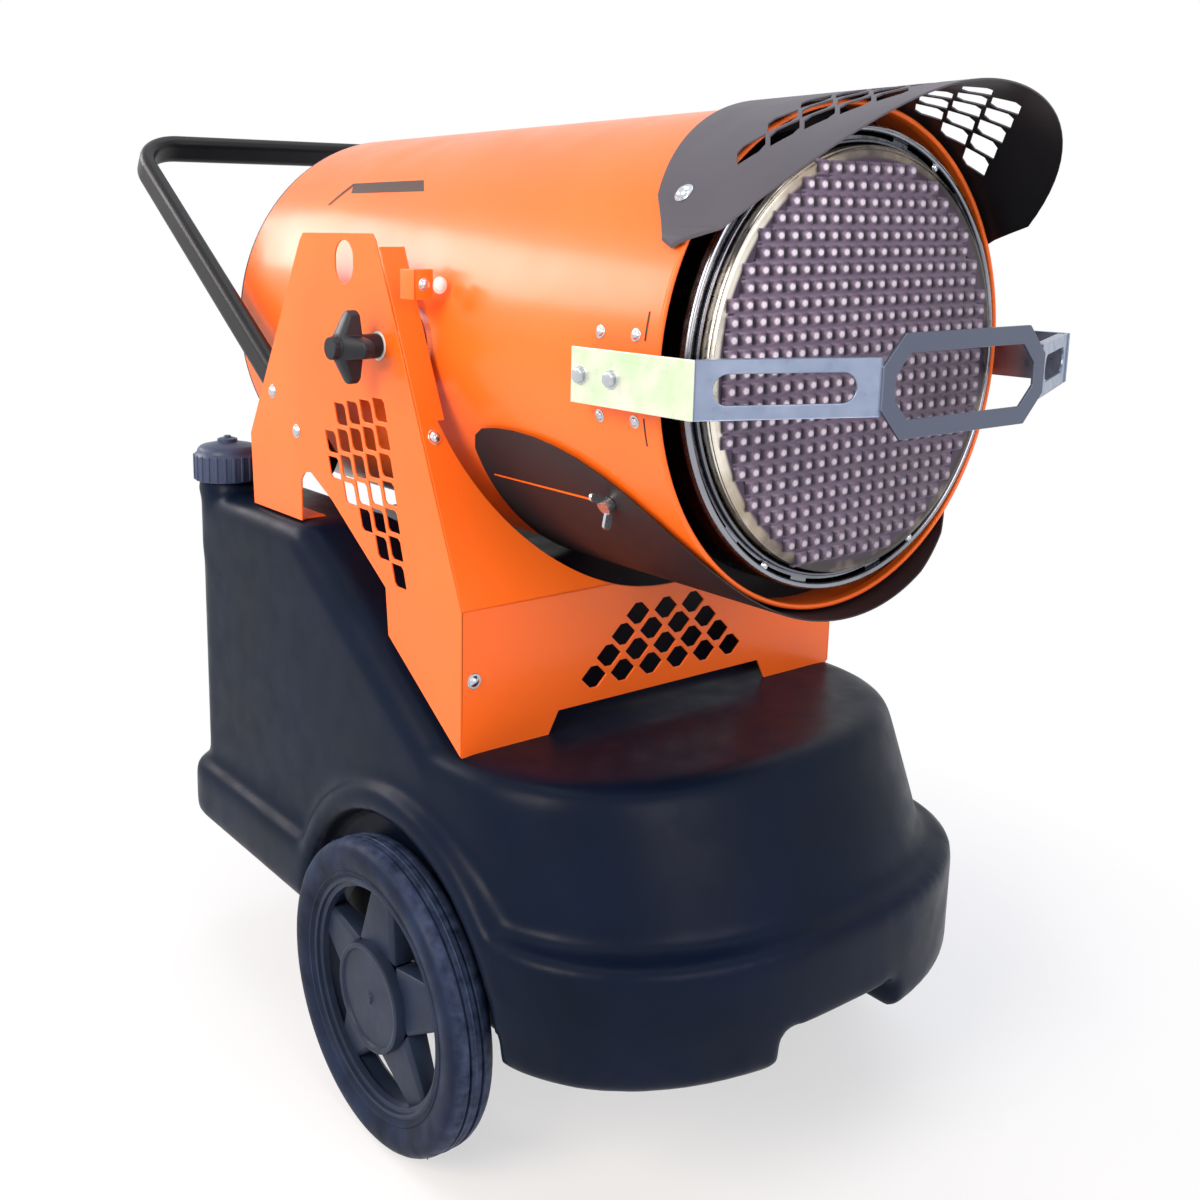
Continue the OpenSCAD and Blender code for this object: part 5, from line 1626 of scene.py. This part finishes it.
@dataclass
class Studio:
    """The floor, the lamps, the world and the camera at the photograph's place."""

    eye: Triple = (-0.9254, -1.0327, 0.9049)
    yaw: float = 0.607
    pitch: float = 0.197
    roll: float = 0.005
    focal_px: float = 1334.9
    centre_px: Pair = (458.3, 492.8)
    frame_px: float = 1200.0
    # The floor shows its shadow up to the first distance, and is white from the second one on
    shadow_floor: float = 0.30
    clear_floor: float = 1.0
    least_white: float = 0.55
    floor_size: float = 14.0
    sky: float = 0.62
    # Each lamp's name, place, width and height, watts and colour
    lamps: tuple[tuple[str, Triple, Pair, float, str], ...] = (
        ("key_lamp", (-3.0, -0.9, 2.3), (1.6, 1.6), 100, "#fff0dc"),
        ("top_lamp", (0.3, -0.2, 3.4), (2.6, 2.6), 34, "#f2f6ff"),
        ("front_lamp", (0.1, -3.6, 1.8), (2.0, 1.6), 46, "#fff0f0"),
        ("streak_lamp", (-1.7, 2.7, 2.1), (2.2, 1.0), 60, "#fff4f4"),
    )

    def camera(self) -> None:
        """Places the camera where the photograph was taken from."""
        data = bpy.data.cameras.new("photo_camera")
        data.sensor_width = 36.0
        data.lens = self.focal_px / self.frame_px * data.sensor_width
        data.shift_x = (self.frame_px / 2 - self.centre_px[0]) / self.frame_px
        data.shift_y = (self.centre_px[1] - self.frame_px / 2) / self.frame_px
        data.clip_start = 0.05
        level = math.cos(self.pitch)
        ahead = Vector((math.sin(self.yaw) * level, math.cos(self.yaw) * level, -math.sin(self.pitch)))
        aside = Vector((math.cos(self.yaw), -math.sin(self.yaw), 0))
        above = aside.cross(ahead)
        right = math.cos(self.roll) * aside + math.sin(self.roll) * above
        up = math.cos(self.roll) * above - math.sin(self.roll) * aside
        camera = bpy.data.objects.new("photo_camera", data)
        place = Matrix((right, up, -ahead)).transposed().to_4x4()
        place.translation = Vector(self.eye) + Vector((0, HUB.y, 0))
        camera.matrix_world = place
        bpy.context.scene.collection.objects.link(camera)
        bpy.context.scene.camera = camera

    def lamp(self, name: str, place: Triple, size: Pair, power: float, colour: str) -> None:
        """Adds a soft rectangular lamp that looks at the heater.

        Args:
            name: the lamp's name.
            place: where it stands.
            size: its width and height.
            power: its power in watts.
            colour: its colour.
        """
        data = bpy.data.lights.new(name, "AREA")
        data.shape = "RECTANGLE"
        data.size, data.size_y = size
        data.energy = power
        data.color = linear(colour)[:3]
        lamp = bpy.data.objects.new(name, data)
        lamp.location = place
        aim = Vector((0, 0, 0.6)) - Vector(place)
        lamp.rotation_euler = aim.to_track_quat("-Z", "Y").to_euler()
        bpy.context.scene.collection.objects.link(lamp)

    def seen(self, tree: bpy.types.NodeTree) -> Socket:
        """Picks the rays that show the white background: the camera's, mirrored and refracted.

        Args:
            tree: the node tree that reads the rays.

        Returns:
            1 for such a ray, and 0 for any other.
        """
        rays = add(tree, "ShaderNodeLightPath").outputs
        either = {0: rays["Is Camera Ray"], 1: rays["Is Glossy Ray"]}
        shown = add(tree, "ShaderNodeMath", either, operation="MAXIMUM").outputs[0]
        inputs = {0: shown, 1: rays["Is Transmission Ray"]}
        return add(tree, "ShaderNodeMath", inputs, operation="MAXIMUM").outputs[0]

    def floor(self) -> None:
        """Lays a pale floor that keeps the heater's shadow and fades to white away from it."""
        shape = bmesh.new()
        bmesh.ops.create_grid(shape, x_segments=1, y_segments=1, size=self.floor_size)
        piece = helper(shape, "floor")
        recipe = Recipe("pale_floor")
        out = recipe.radius((0.0, 0.0, 0.0), (1.0, 1.0, 0.0))
        away = recipe.ramp(out, self.shadow_floor, self.clear_floor)
        paint = recipe.between(recipe.uneven(300, 0, 1), "#f6f6f6", "#f2f2f3")
        matt = add(recipe.tree, "ShaderNodeBsdfDiffuse", {"Color": paint})
        white = add(recipe.tree, "ShaderNodeEmission", {"Color": linear("#ffffff"), "Strength": 1.0})
        seen = self.seen(recipe.tree)
        inputs = {0: away, 1: self.least_white}
        fade = add(recipe.tree, "ShaderNodeMath", inputs, operation="MAXIMUM").outputs[0]
        part = add(recipe.tree, "ShaderNodeMath", {0: seen, 1: fade}, operation="MULTIPLY").outputs[0]
        both = add(recipe.tree, "ShaderNodeMixShader", {0: part, 1: matt.outputs[0], 2: white.outputs[0]})
        add(recipe.tree, "ShaderNodeOutputMaterial", {"Surface": both.outputs[0]})
        piece.data.materials.append(recipe.made)

    def world(self) -> None:
        """Sets a soft sky as light, and white where the camera looks past the heater."""
        made = bpy.data.worlds.new("studio_sky")
        made.use_nodes = True
        tree = made.node_tree
        tree.nodes.clear()
        around = add(tree, "ShaderNodeTexCoord").outputs["Generated"]
        way = add(tree, "ShaderNodeSeparateXYZ", {"Vector": around})
        climb = {"Value": way.outputs["Z"], "From Min": -0.2, "From Max": 0.8}
        height = add(tree, "ShaderNodeMapRange", climb).outputs[0]
        colours = {0: height, 6: linear("#aeb2ba"), 7: linear("#e6eefc")}
        tone = add(tree, "ShaderNodeMix", colours, data_type="RGBA").outputs[2]
        sky = add(tree, "ShaderNodeBackground", {"Color": tone, "Strength": self.sky})
        white = add(tree, "ShaderNodeBackground", {"Color": linear("#ffffff"), "Strength": 1.0})
        inputs = {0: self.seen(tree), 1: sky.outputs[0], 2: white.outputs[0]}
        both = add(tree, "ShaderNodeMixShader", inputs)
        add(tree, "ShaderNodeOutputWorld", {"Surface": both.outputs[0]})
        bpy.context.scene.world = made

    def build(self) -> None:
        """Builds the whole studio."""
        self.camera()
        self.floor()
        self.world()
        for lamp in self.lamps:
            self.lamp(*lamp)


def dress_plain_nodes() -> None:
    """Gives every node that keeps its own shape its finish."""
    for coating, nodes in PLAIN.items():
        for node in nodes:
            coating.on(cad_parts[node])


def ease_mouldings() -> None:
    """Eases the edges of the control box and of the knobs."""
    for node, body, edge in (("control_box", "drum", 1.2), ("heat_knob", "heat_control", 0.8),
                             ("knob_left", "knob_left", 1.2), ("knob_right", "knob_right", 1.2)):
        eased_copy(node, Coating.ABS, body, edge * MM)


def main() -> None:
    """Builds the scene in order."""
    logging.basicConfig(level=logging.INFO, format="%(name)s: %(message)s")
    bpy.context.scene.view_settings.view_transform = "Standard"
    Studio().build()
    dress_plain_nodes()
    FuelTank().build()
    FillerCap().build()
    for side, name in ((-1, "left"), (1, "right")):
        RoadWheel(side, name).build()
    Drum().build()
    Emitter().build()
    Guard().build()
    Stand().build()
    Controls().build()
    Shields().build()
    ease_mouldings()


if __name__ == "__main__":
    main()
